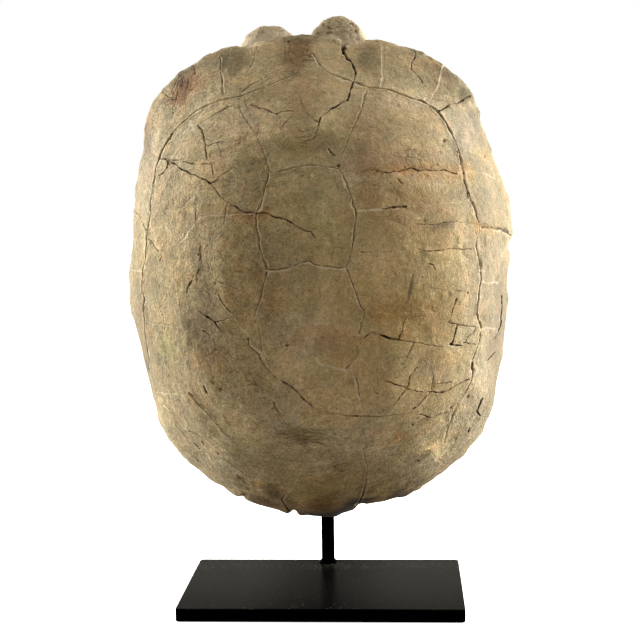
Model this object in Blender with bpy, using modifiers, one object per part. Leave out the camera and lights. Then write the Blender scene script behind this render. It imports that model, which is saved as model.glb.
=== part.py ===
"""Fossil tortoise shell standing on a black steel stand.

Row frame: origin at the centre of the base plate's underside, +X right, +Y back, +Z up, metres.
The shell stands head end up with its domed back towards -Y and its flat belly towards +Y.

Shell frame: u runs across to the right, v runs up towards the head end and h is the height above
the belly plane, towards the viewer. Furrows and cracks are routes of (u, v) points on the dome.
"""
import math

import bmesh
import bpy
import numpy as np
from mathutils import Matrix, Vector, kdtree

MM = 0.001

# Stand: flat bar with a square post welded near its back edge
BASE_WIDTH = 0.200
BASE_DEPTH = 0.130
STOCK = 0.0095
BASE_CORNER = 0.0030
BASE_EDGE = 0.0010
POST_EDGE = 0.0008
POST_INSET = 0.0025
POST_TOP = 0.150
WELD_WIDTH = 0.0022
WELD_RISE = 0.0030
GAP = 0.0003

# Shell placing
SHELL_X = -0.002
BELLY_Y = 0.075
SHELL_Z = 0.226
LEAN = math.radians(2.0)

# Dome, in millimetres: depth of the shell, rim heights and the two exponents of its profile
DOME_HEIGHT = 160.0
RIM_HEIGHT = {"head": 62.0, "tail": 28.0, "side": 48.0}
PLAN_POWER = {"head": 2.4, "tail": 2.4, "side": 2.3}
CROWN_POWER = {"head": 1.05, "tail": 0.80, "side": 0.74}

# Rim seen from the front: bearing from the head end in degrees, clockwise, and radius
RIM = [
    (0, 180), (8, 177), (20, 182), (31, 182), (40, 178), (49, 164), (62, 154), (76, 146), (90, 138),
    (108, 141), (121, 149), (131, 160), (148, 169), (160, 173), (173, 173), (180, 178), (188, 177),
    (202, 175), (216, 169), (229, 163), (240, 150), (249, 143), (270, 141), (288, 142), (301, 152),
    (310, 162), (319, 177), (330, 183), (340, 184), (350, 180),
]
# Chips in the rim: bearing, depth and half width in degrees
CHIPS = [(10.0, 4.0, 3.0), (81.0, 2.5, 3.5), (172.6, 2.5, 1.5), (189.6, 3.5, 1.5), (202.9, 3.5, 1.2),
         (208.5, 1.5, 1.2), (346.0, 2.0, 3.0)]

# Underside profiles from the rim inwards: share of the way, inset from the rim, and height above the
# rim for the wall or above the belly plane for the floor
OPENING_WALL = [(0.0, 0.0, 0.0), (0.08, 1.5, -3.5), (0.14, 5.0, -6.0), (0.24, 16.0, -3.0),
                (0.32, 20.0, -12.0)]
OPENING_FLOOR = [(0.44, 22.0, 12.0), (0.56, 30.0, 8.0)]
BRIDGE_WALL = [(0.0, 0.0, 0.0), (0.08, 0.5, -8.0), (0.14, 3.0, -17.0), (0.24, 8.0, -26.0),
               (0.32, 17.0, -36.0)]
BRIDGE_FLOOR = [(0.44, 30.0, 6.0), (0.56, 45.0, 3.0)]
BRIDGE_ENDS = (62.0, 122.0)
BRIDGE_BLEND = 9.0

# Belly plate: right half of its outline from the head end to the tail notch, and its thickness
BELLY_HALF = [(0, 172), (22, 176), (42, 172), (60, 150), (78, 120), (88, 66), (101, 40), (104, 0),
              (101, -42), (86, -66), (76, -110), (56, -140), (32, -152), (14, -149), (0, -138)]
BELLY_THICK = 11.0
BELLY_ROUND = 2.5
# Throat lobes of the belly plate: centre and half sizes as (u, v, h)
THROAT_LOBES = [((-31.0, 165.0, 9.5), (25.0, 27.5, 9.5)), ((20.0, 165.0, 10.0), (25.0, 32.0, 10.0))]

# Furrows between the horny shields, as routes on the dome
FURROWS = {
    "right margin": [
        (2, 169), (7, 161), (10, 156), (16, 150), (30, 144), (44, 138), (52, 137), (59, 135), (71, 130),
        (79, 128), (86, 122), (91, 119), (95, 112), (98, 104), (102, 95), (105, 84), (106, 74),
        (108, 62), (112, 52), (114, 42), (112, 36), (113, 26), (115, 14), (115, 2), (113, -8),
        (111, -19), (114, -30), (112, -41), (109, -52), (107, -61), (104, -69), (99, -80), (95, -89),
        (90, -99), (86, -109)],
    "left margin": [
        (-10, 148), (-18, 146), (-31, 141), (-42, 137), (-53, 135), (-61, 134), (-70, 131), (-78, 127),
        (-87, 122), (-92, 116), (-98, 110), (-103, 103), (-106, 97), (-109, 86), (-112, 72),
        (-114, 62), (-115, 53), (-117, 42), (-119, 26), (-123, 14), (-124, 4), (-122, -2), (-124, -11),
        (-124, -28), (-124, -47), (-123, -60), (-120, -70), (-115, -80), (-108, -86), (-101, -94),
        (-97, -102), (-90, -113)],
    "second shield top": [
        (-24, 83), (-17, 83), (-10, 85), (-2, 86), (10, 86), (17, 84), (21, 84)],
    "second shield left": [
        (-25, 87), (-24, 82), (-27, 75), (-29, 66), (-31, 60), (-34, 56), (-34, 50), (-33, 40),
        (-31, 30), (-28, 20)],
    "second shield right": [
        (22, 86), (22, 84), (25, 79), (28, 70), (31, 61), (33, 54), (32, 46), (30, 34), (27, 24), (25, 19)],
    "third shield top": [
        (-28, 20), (-21, 19), (-14, 21), (-6, 22), (0, 24), (6, 21), (14, 19), (25, 19)],
    "third shield left": [
        (-28, 20), (-30, 12), (-33, 0), (-37, -10), (-36, -20), (-34, -32), (-32, -43), (-25, -51),
        (-17, -58), (-10, -68)],
    "third shield right": [
        (25, 19), (28, 9), (31, -3), (35, -13), (34, -18), (31, -26), (29, -38), (25, -49)],
    "fourth shield top": [(-18, -49), (-10, -46), (-2, -42), (7, -46), (15, -49), (25, -49)],
    "fourth shield right": [(25, -49), (26, -57), (28, -70), (30, -80)],
    "first shield left": [(-46, 129), (-41, 120), (-33, 108), (-30, 99), (-25, 87)],
    "first shield right": [(43, 137), (40, 126), (35, 116), (31, 107), (26, 96), (22, 86)],
    "neck left": [(-36, 172), (-37, 162), (-40, 154), (-41, 148)],
    "margin one left": [(-62, 170), (-61, 160), (-59, 150), (-58, 138)],
    "margin one right": [(54, 170), (54, 156), (53, 146), (51, 137)],
    "margin two left": [(-107, 145), (-101, 141), (-92, 138)],
    "margin two right": [(97, 153), (94, 146), (91, 136), (84, 125)],
    "margin three right": [(115, 131), (107, 127), (98, 124), (91, 119)],
    "margin four right": [(140, 30), (130, 36), (117, 38)],
    "margin four left": [(-131, 60), (-123, 55), (-117, 46)],
    "margin five right": [(115, 1), (124, -2), (134, -3)],
    "margin five left": [(-138, 18), (-122, 18)],
    "tail shield right": [(30, -120), (30, -133), (25, -152), (20, -166)],
}
FURROW_HALF_WIDTH = 3.0
FURROW_DEPTH = 1.8

# Furrows of the belly plate, right half, as routes on the belly plane
BELLY_FURROWS = {
    "midline": [(0, 158), (0, -140)],
    "throat": [(0, 138), (20, 150), (44, 172)],
    "arm": [(0, 84), (40, 80), (70, 66), (92, 64)],
    "breast": [(0, 52), (50, 48), (84, 40), (108, 38)],
    "belly": [(0, -40), (50, -46), (84, -54), (104, -48)],
    "thigh": [(0, -94), (30, -102), (60, -128), (68, -132)],
}

# Open cracks, deeper than the furrows
CRACKS = {
    "top crack": [
        (25, 176), (27, 164), (31, 158), (34, 150), (33, 142), (30, 132), (28, 129), (20, 124),
        (11, 119), (9, 113)],
    "left crack": [(-97, 95), (-85, 87), (-74, 82), (-64, 77), (-57, 67), (-45, 60), (-33, 57),
                   (-24, 55), (-13, 51), (2, 43)],
    "lower right crack": [(47, -59), (60, -67), (75, -72), (88, -73), (98, -69), (104, -67)],
}
CRACK_HALF_WIDTH = 2.2
CRACK_DEPTH = 2.2

CORNER_SEGMENTS = 4
EDGE_ANGLE = math.radians(40.0)
SHELL_VOXEL = 0.0022
SHELL_TRIANGLES = 9300
ROUTE_STEP = 1.0

BONE = {"color": (0.42, 0.34, 0.22), "roughness": 0.75, "metallic": 0.0}
BLACK_STEEL = {"color": (0.02, 0.02, 0.022), "roughness": 0.5, "metallic": 0.0}


def clear_scene():
    """Remove every object, so the model starts from nothing."""
    for old in list(bpy.data.objects):
        bpy.data.objects.remove(old, do_unlink=True)


def make_collection(name):
    """Return a new collection linked to the scene."""
    collection = bpy.data.collections.new(name)
    bpy.context.scene.collection.children.link(collection)
    return collection


def make_material(name, finish):
    """Return a plain Principled material."""
    material = bpy.data.materials.new(name)
    material.use_nodes = True
    shader = material.node_tree.nodes["Principled BSDF"]
    shader.inputs["Base Color"].default_value = (*finish["color"], 1.0)
    shader.inputs["Roughness"].default_value = finish["roughness"]
    shader.inputs["Metallic"].default_value = finish["metallic"]
    return material


def add_object(name, mesh, collection, material=None):
    """Link a mesh to a collection as a named object."""
    obj = bpy.data.objects.new(name, mesh)
    collection.objects.link(obj)
    if material is not None:
        mesh.materials.append(material)
    return obj


def mesh_from_bmesh(name, bm):
    """Turn a bmesh into mesh data and free it."""
    mesh = bpy.data.meshes.new(name)
    bm.to_mesh(mesh)
    bm.free()
    return mesh


def box_mesh(name, size):
    """Return a box centred on its own origin."""
    bm = bmesh.new()
    bmesh.ops.create_cube(bm, size=1.0, matrix=Matrix.Diagonal((*size, 1.0)))
    return mesh_from_bmesh(name, bm)


def round_edges(obj, width, segments):
    """Round every edge of an object with a bevel."""
    bevel = obj.modifiers.new("rounded edges", "BEVEL")
    bevel.width = width
    bevel.segments = segments
    bevel.limit_method = "ANGLE"
    bevel.angle_limit = EDGE_ANGLE


def smoothstep(value):
    """Ease a value from 0 to 1, clamped at both ends."""
    t = np.clip(value, 0.0, 1.0)
    return t * t * (3.0 - 2.0 * t)


def by_region(values, bearing):
    """Blend head, tail and side values around the shell."""
    along = np.cos(bearing)
    head = np.clip(along, 0.0, 1.0) ** 2
    tail = np.clip(-along, 0.0, 1.0) ** 2
    return values["head"] * head + values["tail"] * tail + values["side"] * (1.0 - head - tail)


def rim_radius(bearing):
    """Radius of the rim at a bearing in radians, through the rim points and less the chips."""
    degrees = np.degrees(bearing) % 360.0
    angles = np.array([point[0] for point in RIM], dtype=float)
    radii = np.array([point[1] for point in RIM], dtype=float)
    angles = np.concatenate([angles[-2:] - 360.0, angles, angles[:2] + 360.0])
    radii = np.concatenate([radii[-2:], radii, radii[:2]])
    slopes = np.gradient(radii, angles)
    i = np.clip(np.searchsorted(angles, degrees, side="right") - 1, 0, len(angles) - 2)
    span = angles[i + 1] - angles[i]
    t = (degrees - angles[i]) / span
    radius = (
        (2 * t**3 - 3 * t**2 + 1) * radii[i]
        + (t**3 - 2 * t**2 + t) * span * slopes[i]
        + (-2 * t**3 + 3 * t**2) * radii[i + 1]
        + (t**3 - t**2) * span * slopes[i + 1]
    )
    for centre, depth, half_width in CHIPS:
        away = np.abs((degrees - centre + 180.0) % 360.0 - 180.0)
        radius = radius - depth * (1.0 - smoothstep(away / half_width))
    return radius


def dome_height(u, v):
    """Height of the dome above the belly plane at a point of the shell frame, in millimetres."""
    bearing = np.arctan2(u, v)
    share = np.clip(np.hypot(u, v) / rim_radius(bearing), 0.0, 1.0)
    rim = by_region(RIM_HEIGHT, bearing)
    crown = (1.0 - share ** by_region(PLAN_POWER, bearing)) ** by_region(CROWN_POWER, bearing)
    return rim + (DOME_HEIGHT - rim) * crown


def shell_point(u, v, h):
    """Place shell frame millimetres in the shell object's own metres."""
    return np.stack([u, -h, v], axis=-1) * MM


def bridge_share(bearing):
    """1 on the bridges at the sides, 0 at the head and tail openings."""
    side = np.degrees(np.abs((bearing + math.pi) % (2.0 * math.pi) - math.pi))
    first = smoothstep((side - BRIDGE_ENDS[0]) / BRIDGE_BLEND + 0.5)
    last = smoothstep((side - BRIDGE_ENDS[1]) / BRIDGE_BLEND + 0.5)
    return first * (1.0 - last)


def underside(bearing, share):
    """Radius and height of the underside, from the rim (share 0) to the middle (share 1)."""
    radius = rim_radius(bearing)
    rim = by_region(RIM_HEIGHT, bearing)
    results = []
    for wall, floor in ((OPENING_WALL, OPENING_FLOOR), (BRIDGE_WALL, BRIDGE_FLOOR)):
        stations = [row[0] for row in wall + floor] + [1.0]
        insets = [np.full_like(radius, row[1]) for row in wall + floor] + [radius]
        heights = [rim + row[2] for row in wall]
        heights += [np.full_like(rim, row[2]) for row in floor]
        heights.append(np.full_like(rim, floor[-1][2]))
        inset = np.zeros_like(share)
        height = np.zeros_like(share)
        for k in range(len(stations) - 1):
            inside = (share >= stations[k]) & (share <= stations[k + 1])
            t = (share - stations[k]) / (stations[k + 1] - stations[k])
            inset = np.where(inside, insets[k] + (insets[k + 1] - insets[k]) * t, inset)
            height = np.where(inside, heights[k] + (heights[k + 1] - heights[k]) * t, height)
        results.append((radius - inset, height))
    side = bridge_share(bearing)
    return tuple(results[0][k] * (1.0 - side) + results[1][k] * side for k in range(2))


def dome_body():
    """Dome, rim, bridges and the stone that fills the shell, re-placed from a round primitive."""
    bm = bmesh.new()
    bmesh.ops.create_uvsphere(bm, u_segments=180, v_segments=120, radius=1.0)
    mesh = mesh_from_bmesh("dome", bm)
    co = np.empty(len(mesh.vertices) * 3)
    mesh.vertices.foreach_get("co", co)
    x, y, z = co.reshape(-1, 3).T
    bearing = np.arctan2(x, -y)
    polar = np.arccos(np.clip(z, -1.0, 1.0))
    radius = rim_radius(bearing)
    rim = by_region(RIM_HEIGHT, bearing)
    front = np.clip(polar, 0.0, math.pi / 2.0)
    plan = radius * np.sin(front) ** (2.0 / by_region(PLAN_POWER, bearing))
    height = rim + (DOME_HEIGHT - rim) * np.cos(front) ** (2.0 * by_region(CROWN_POWER, bearing))
    back = polar > math.pi / 2.0
    under_plan, under_height = underside(bearing, np.clip(polar / (math.pi / 2.0) - 1.0, 0.0, 1.0))
    plan = np.where(back, under_plan, plan)
    height = np.where(back, under_height, height)
    placed = shell_point(plan * np.sin(bearing), plan * np.cos(bearing), height)
    mesh.vertices.foreach_set("co", placed.ravel())
    return mesh


def belly_plate():
    """Belly plate as a flat outline with rounded edges, lying on the belly plane."""
    curve = bpy.data.curves.new("belly plate", "CURVE")
    curve.dimensions = "2D"
    curve.fill_mode = "BOTH"
    curve.extrude = (BELLY_THICK / 2.0 - BELLY_ROUND) * MM
    curve.bevel_depth = BELLY_ROUND * MM
    curve.offset = -BELLY_ROUND * MM
    curve.resolution_u = 8
    outline = BELLY_HALF + [(-u, v) for u, v in reversed(BELLY_HALF[1:-1])]
    spline = curve.splines.new("BEZIER")
    spline.bezier_points.add(len(outline) - 1)
    spline.use_cyclic_u = True
    for point, (u, v) in zip(spline.bezier_points, outline):
        point.co = (u * MM, v * MM, 0.0)
        point.handle_left_type = "AUTO"
        point.handle_right_type = "AUTO"
    guide = bpy.data.objects.new("belly plate", curve)
    bpy.context.scene.collection.objects.link(guide)
    depsgraph = bpy.context.evaluated_depsgraph_get()
    mesh = bpy.data.meshes.new_from_object(guide.evaluated_get(depsgraph))
    bpy.data.objects.remove(guide, do_unlink=True)
    stand_up = Matrix.Rotation(math.pi / 2.0, 4, "X")
    mesh.transform(Matrix.Translation((0.0, -BELLY_THICK / 2.0 * MM, 0.0)) @ stand_up)
    return mesh


def throat_lobe(centre, half_size):
    """One rounded throat lobe of the belly plate."""
    bm = bmesh.new()
    u, v, h = (value * MM for value in centre)
    su, sv, sh = (value * MM for value in half_size)
    place = Matrix.Translation((u, -h, v)) @ Matrix.Diagonal((su, sh, sv, 1.0))
    bmesh.ops.create_uvsphere(bm, u_segments=48, v_segments=32, radius=1.0, matrix=place)
    return mesh_from_bmesh("throat lobe", bm)


def fuse(meshes, name, voxel):
    """Grow several closed meshes together into one closed mesh."""
    bm = bmesh.new()
    for mesh in meshes:
        bm.from_mesh(mesh)
    bmesh.ops.remove_doubles(bm, verts=bm.verts, dist=0.00002)
    obj = bpy.data.objects.new(name, mesh_from_bmesh(name, bm))
    bpy.context.scene.collection.objects.link(obj)
    remesh = obj.modifiers.new("grown together", "REMESH")
    remesh.mode = "VOXEL"
    remesh.voxel_size = voxel
    depsgraph = bpy.context.evaluated_depsgraph_get()
    fused = bpy.data.meshes.new_from_object(obj.evaluated_get(depsgraph))
    bpy.data.objects.remove(obj, do_unlink=True)
    return fused


def belly_height(u, v):
    """Height of the belly plane, the same everywhere."""
    return np.zeros_like(u + v)


def route_tree(routes, height):
    """Index points about every millimetre along routes, lifted to a height, for nearest-point look-ups."""
    places = []
    for route in routes.values():
        points = np.array(route, dtype=float)
        spans = np.hypot(*np.diff(points, axis=0).T)
        along = np.concatenate([[0.0], np.cumsum(spans)])
        steps = np.arange(0.0, along[-1], ROUTE_STEP)
        u = np.interp(steps, along, points[:, 0])
        v = np.interp(steps, along, points[:, 1])
        places.append(shell_point(u, v, height(u, v)))
    places = np.concatenate(places)
    tree = kdtree.KDTree(len(places))
    for index, place in enumerate(places):
        tree.insert(Vector(place), index)
    tree.balance()
    return tree


def mirrored(routes):
    """Return routes of the right half together with those of the left half."""
    left = {f"{name} left": [(-u, v) for u, v in route] for name, route in routes.items()}
    return {**routes, **left}


def engrave(mesh, tree, half_width, depth):
    """Sink the vertices near the indexed routes along their normals, to a rounded channel."""
    for vertex in mesh.vertices:
        _, _, distance = tree.find(vertex.co)
        share = distance / (half_width * MM)
        if share < 1.0:
            vertex.co -= vertex.normal * depth * MM * float(1.0 - smoothstep(share))


def make_shell(collection, material, socket):
    """Shell with its stone filling, furrows, cracks and the square socket for the post."""
    parts = [dome_body(), belly_plate()]
    parts += [throat_lobe(centre, half_size) for centre, half_size in THROAT_LOBES]
    mesh = fuse(parts, "fossil_shell", SHELL_VOXEL)
    engrave(mesh, route_tree(FURROWS, dome_height), FURROW_HALF_WIDTH, FURROW_DEPTH)
    engrave(mesh, route_tree(CRACKS, dome_height), CRACK_HALF_WIDTH, CRACK_DEPTH)
    engrave(mesh, route_tree(mirrored(BELLY_FURROWS), belly_height), FURROW_HALF_WIDTH, FURROW_DEPTH)
    shell = add_object("fossil_shell", mesh, collection, material)
    shell.location = (SHELL_X, BELLY_Y, SHELL_Z)
    shell.rotation_euler = (0.0, -LEAN, 0.0)
    mesh.shade_smooth()
    triangles = sum(len(polygon.vertices) - 2 for polygon in mesh.polygons)
    thin = shell.modifiers.new("fewer faces", "DECIMATE")
    thin.ratio = SHELL_TRIANGLES / triangles
    hole = shell.modifiers.new("post socket", "BOOLEAN")
    hole.operation = "DIFFERENCE"
    hole.object = socket
    return shell


def make_socket(collection, post_y):
    """Cutter for the square hole that the post stands in."""
    width = STOCK + 2.0 * GAP
    height = POST_TOP + GAP
    cutter = add_object("socket_cutter", box_mesh("socket_cutter", (width, width, height)), collection)
    cutter.location = (0.0, post_y, height / 2.0)
    cutter.hide_render = True
    cutter.display_type = "WIRE"
    return cutter


def make_base(collection, material):
    """Base plate with rounded corners, flat on the ground."""
    bm = bmesh.new()
    bmesh.ops.create_cube(bm, size=1.0, matrix=Matrix.Diagonal((BASE_WIDTH, BASE_DEPTH, STOCK, 1.0)))
    upright = [edge for edge in bm.edges if abs(edge.verts[0].co.z - edge.verts[1].co.z) > STOCK / 2.0]
    bmesh.ops.bevel(bm, geom=upright, offset=BASE_CORNER, segments=CORNER_SEGMENTS, profile=0.5,
                    affect="EDGES")
    base = add_object("base_plate", mesh_from_bmesh("base_plate", bm), collection, material)
    base.location = (0.0, 0.0, STOCK / 2.0)
    round_edges(base, BASE_EDGE, 2)
    return base


def make_post(collection, material, post_y):
    """Square post with the weld around its foot."""
    bottom = STOCK + GAP
    height = POST_TOP - bottom
    post = add_object("post", box_mesh("post", (STOCK, STOCK, height)), collection, material)
    post.location = (0.0, post_y, bottom + height / 2.0)
    round_edges(post, POST_EDGE, 2)
    bm = bmesh.new()
    outer = STOCK / 2.0 + WELD_WIDTH
    inner = STOCK / 2.0 - POST_EDGE
    bmesh.ops.create_cone(bm, cap_ends=True, segments=4, radius1=outer * math.sqrt(2.0),
                          radius2=inner * math.sqrt(2.0), depth=WELD_RISE)
    bmesh.ops.rotate(bm, verts=bm.verts, cent=(0, 0, 0), matrix=Matrix.Rotation(math.pi / 4.0, 3, "Z"))
    weld = add_object("post_weld", mesh_from_bmesh("post_weld", bm), collection)
    weld.location = (0.0, post_y, bottom + WELD_RISE / 2.0)
    weld.hide_render = True
    weld.display_type = "WIRE"
    join = post.modifiers.new("weld", "BOOLEAN")
    join.operation = "UNION"
    join.object = weld
    return post


def main():
    """Build the shell and its stand."""
    clear_scene()
    model = make_collection("fossil_turtle_shell")
    cutters = make_collection("cutters")
    cutters.hide_render = True
    steel = make_material("black_steel", BLACK_STEEL)
    bone = make_material("fossil_bone", BONE)
    post_y = BASE_DEPTH / 2.0 - POST_INSET - STOCK / 2.0
    make_base(model, steel)
    make_post(model, steel, post_y)
    make_shell(model, bone, make_socket(cutters, post_y))


main()
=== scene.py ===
"""Dressed model of a fossil tortoise shell on a black steel stand, for one studio picture.

Row frame, in metres: origin at the centre of the base plate's underside, +X right, +Y back, +Z up.
Shell frame, in millimetres: across (u) to the right, up (v) towards the head end, and height (h)
above the belly plane, towards the viewer. Everything on the shell is placed in the shell frame.
"""
from __future__ import annotations

import logging
import math
import random
from collections.abc import Iterator
from dataclasses import dataclass, field
from enum import Enum

import bmesh
import bpy
import numpy as np
from mathutils import Matrix, Vector

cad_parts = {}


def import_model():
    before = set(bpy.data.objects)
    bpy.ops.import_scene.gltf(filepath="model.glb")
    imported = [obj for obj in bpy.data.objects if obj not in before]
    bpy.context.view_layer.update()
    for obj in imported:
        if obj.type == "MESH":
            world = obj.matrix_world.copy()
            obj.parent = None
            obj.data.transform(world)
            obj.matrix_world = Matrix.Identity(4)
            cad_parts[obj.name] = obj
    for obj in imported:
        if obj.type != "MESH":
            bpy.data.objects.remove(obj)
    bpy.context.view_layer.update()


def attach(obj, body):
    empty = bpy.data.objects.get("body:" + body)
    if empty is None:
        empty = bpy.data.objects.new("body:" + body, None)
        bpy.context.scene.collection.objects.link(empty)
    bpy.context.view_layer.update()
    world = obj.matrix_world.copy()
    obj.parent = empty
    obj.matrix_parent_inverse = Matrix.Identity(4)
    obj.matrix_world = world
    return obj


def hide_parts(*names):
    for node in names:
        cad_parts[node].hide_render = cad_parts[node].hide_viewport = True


LOG = logging.getLogger("fossil_shell")
MM = 0.001
Points = list[tuple[float, float]]
Rows = list[tuple[float, float, float]]
# Values at the head, at the tail and at the sides
Regions = tuple[float, float, float]
# Red, green and blue
Shade = tuple[float, float, float]


class Mark(Enum):
    """What a line on the shell is."""

    FURROW = "furrow between horny shields"
    BAND = "broad furrow filled with brown earth"
    SEAM = "pale seam between bones"
    WORN = "broad pale furrow, worn nearly flat"
    CRACK = "open crack"
    HAIR = "hairline crack"
    STREAK = "stain with no relief"


class Tint(Enum):
    """Stains on the bone and patches of painted light and shade, as the share of each colour that is left."""

    LIGHT = (1.32, 1.33, 1.34)
    OCHRE = (1.17, 1.11, 0.98)
    SHADE = (0.74, 0.73, 0.71)
    OLIVE = (0.88, 0.92, 0.86)
    GREEN = (0.94, 1.04, 0.86)
    GREY = (0.86, 0.90, 1.00)
    BROWN = (0.86, 0.79, 0.72)
    PINK = (1.04, 0.92, 0.92)
    ORANGE = (1.12, 0.94, 0.68)
    RUSTY = (1.10, 0.84, 0.66)
    DARK = (0.66, 0.64, 0.60)
    WARM = (1.03, 1.00, 0.84)
    COOL = (0.98, 1.00, 1.12)


@dataclass(frozen=True)
class Profile:
    """Cross-section, dirt, and painted light and shade of one kind of line, in millimetres and shares.

    The places of its dark band and of its pale lip are counted from its middle, in half widths.
    Its pale lip is partly a painted highlight, kept to the lamp-lit side as much as one_sided says;
    a dark band set off its middle lies on the unlit side as painted shade.
    """

    half_width: float
    depth: float
    lip: float
    dirt: float
    dark_place: float
    pale: float
    pale_place: float
    one_sided: float


PROFILES = {
    Mark.FURROW: Profile(0.68, 1.00, 0.30, 0.66, 0.0, 1.00, 1.7, 0.70),
    Mark.SEAM: Profile(0.80, 0.15, 0.05, 0.00, 0.0, 0.42, 0.0, 0.0),
    Mark.BAND: Profile(1.25, 0.55, 0.30, 0.62, 0.0, 0.60, 1.5, 0.30),
    Mark.WORN: Profile(0.62, 0.25, 0.12, 0.42, 1.9, 1.30, 0.0, 0.85),
    Mark.CRACK: Profile(0.64, 1.70, 0.12, 1.20, 0.0, 0.40, 1.7, 0.60),
    Mark.HAIR: Profile(0.50, 0.60, 0.04, 0.62, 0.0, 0.28, 1.7, 0.60),
    Mark.STREAK: Profile(1.50, 0.05, 0.00, 0.56, 0.0, 0.00, 0.0, 0.0),
}


@dataclass(frozen=True)
class Line:
    """One line on the dome: its kind, its (across, up) points and its size at both ends."""

    mark: Mark
    points: Points
    start: float
    end: float

    def size_at(self, along: np.ndarray) -> np.ndarray:
        """Size of the line at shares of the way along it."""
        return self.start + (self.end - self.start) * along


@dataclass(frozen=True)
class Wrinkled:
    """One wrinkled area: centre, half sizes along and across its wrinkles, turn and number of wrinkles."""

    across: float
    up: float
    half_along: float
    half_aside: float
    turn: float
    count: int

    def lines(self) -> list[Line]:
        """Fine hairlines that lie almost side by side in the area."""
        pick = random.Random(self.count)
        turn = math.radians(self.turn)
        made = []
        for _ in range(self.count):
            middle, half = pick.uniform(-0.6, 0.6), pick.uniform(0.15, 0.45)
            aside, slope, bend = pick.uniform(-1.0, 1.0), pick.uniform(-0.35, 0.35), pick.uniform(-0.25, 0.25)
            points = []
            for step in (-1.0, -0.3, 0.4, 1.0):
                along = (middle + step * half) * self.half_along
                side = (aside + step * slope + step * step * bend) * self.half_aside
                points.append((self.across + along * math.cos(turn) - side * math.sin(turn),
                               self.up + along * math.sin(turn) + side * math.cos(turn)))
            made.append(Line(Mark.HAIR, points, pick.uniform(0.3, 0.9), pick.uniform(0.3, 0.9)))
        return made


@dataclass(frozen=True)
class Oval:
    """One oval area of the dome: centre, half sizes, strength or height, turn in degrees, soft edge."""

    across: float
    up: float
    half_across: float
    half_up: float
    strength: float
    turn: float = 0.0
    soft: float = 0.75

    def reach(self, rest: np.ndarray) -> np.ndarray:
        """Distance of places from its centre, as a share of its half sizes."""
        turn = math.radians(self.turn)
        du, dv = rest[:, 0] - self.across, rest[:, 1] - self.up
        along = du * math.cos(turn) + dv * math.sin(turn)
        side = dv * math.cos(turn) - du * math.sin(turn)
        return np.hypot(along / self.half_across, side / self.half_up)


@dataclass(frozen=True)
class Lumps:
    """One layer of noise: height and size of its lumps in millimetres, octaves and shift of its pattern."""

    height: float
    size: float
    octaves: int
    shift: float = 0.0


BONE_LUMPS = (Lumps(0.60, 45.0, 2), Lumps(0.24, 12.0, 2))
STONE_LUMPS = (Lumps(1.9, 16.0, 4, 5.0), Lumps(0.7, 4.0, 2, 15.0))
LOBE_LUMPS = (Lumps(0.9, 9.0, 3, 3.0),)
WORN_LUMPS = (Lumps(1.3, 9.0, 3, 33.0),)

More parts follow.
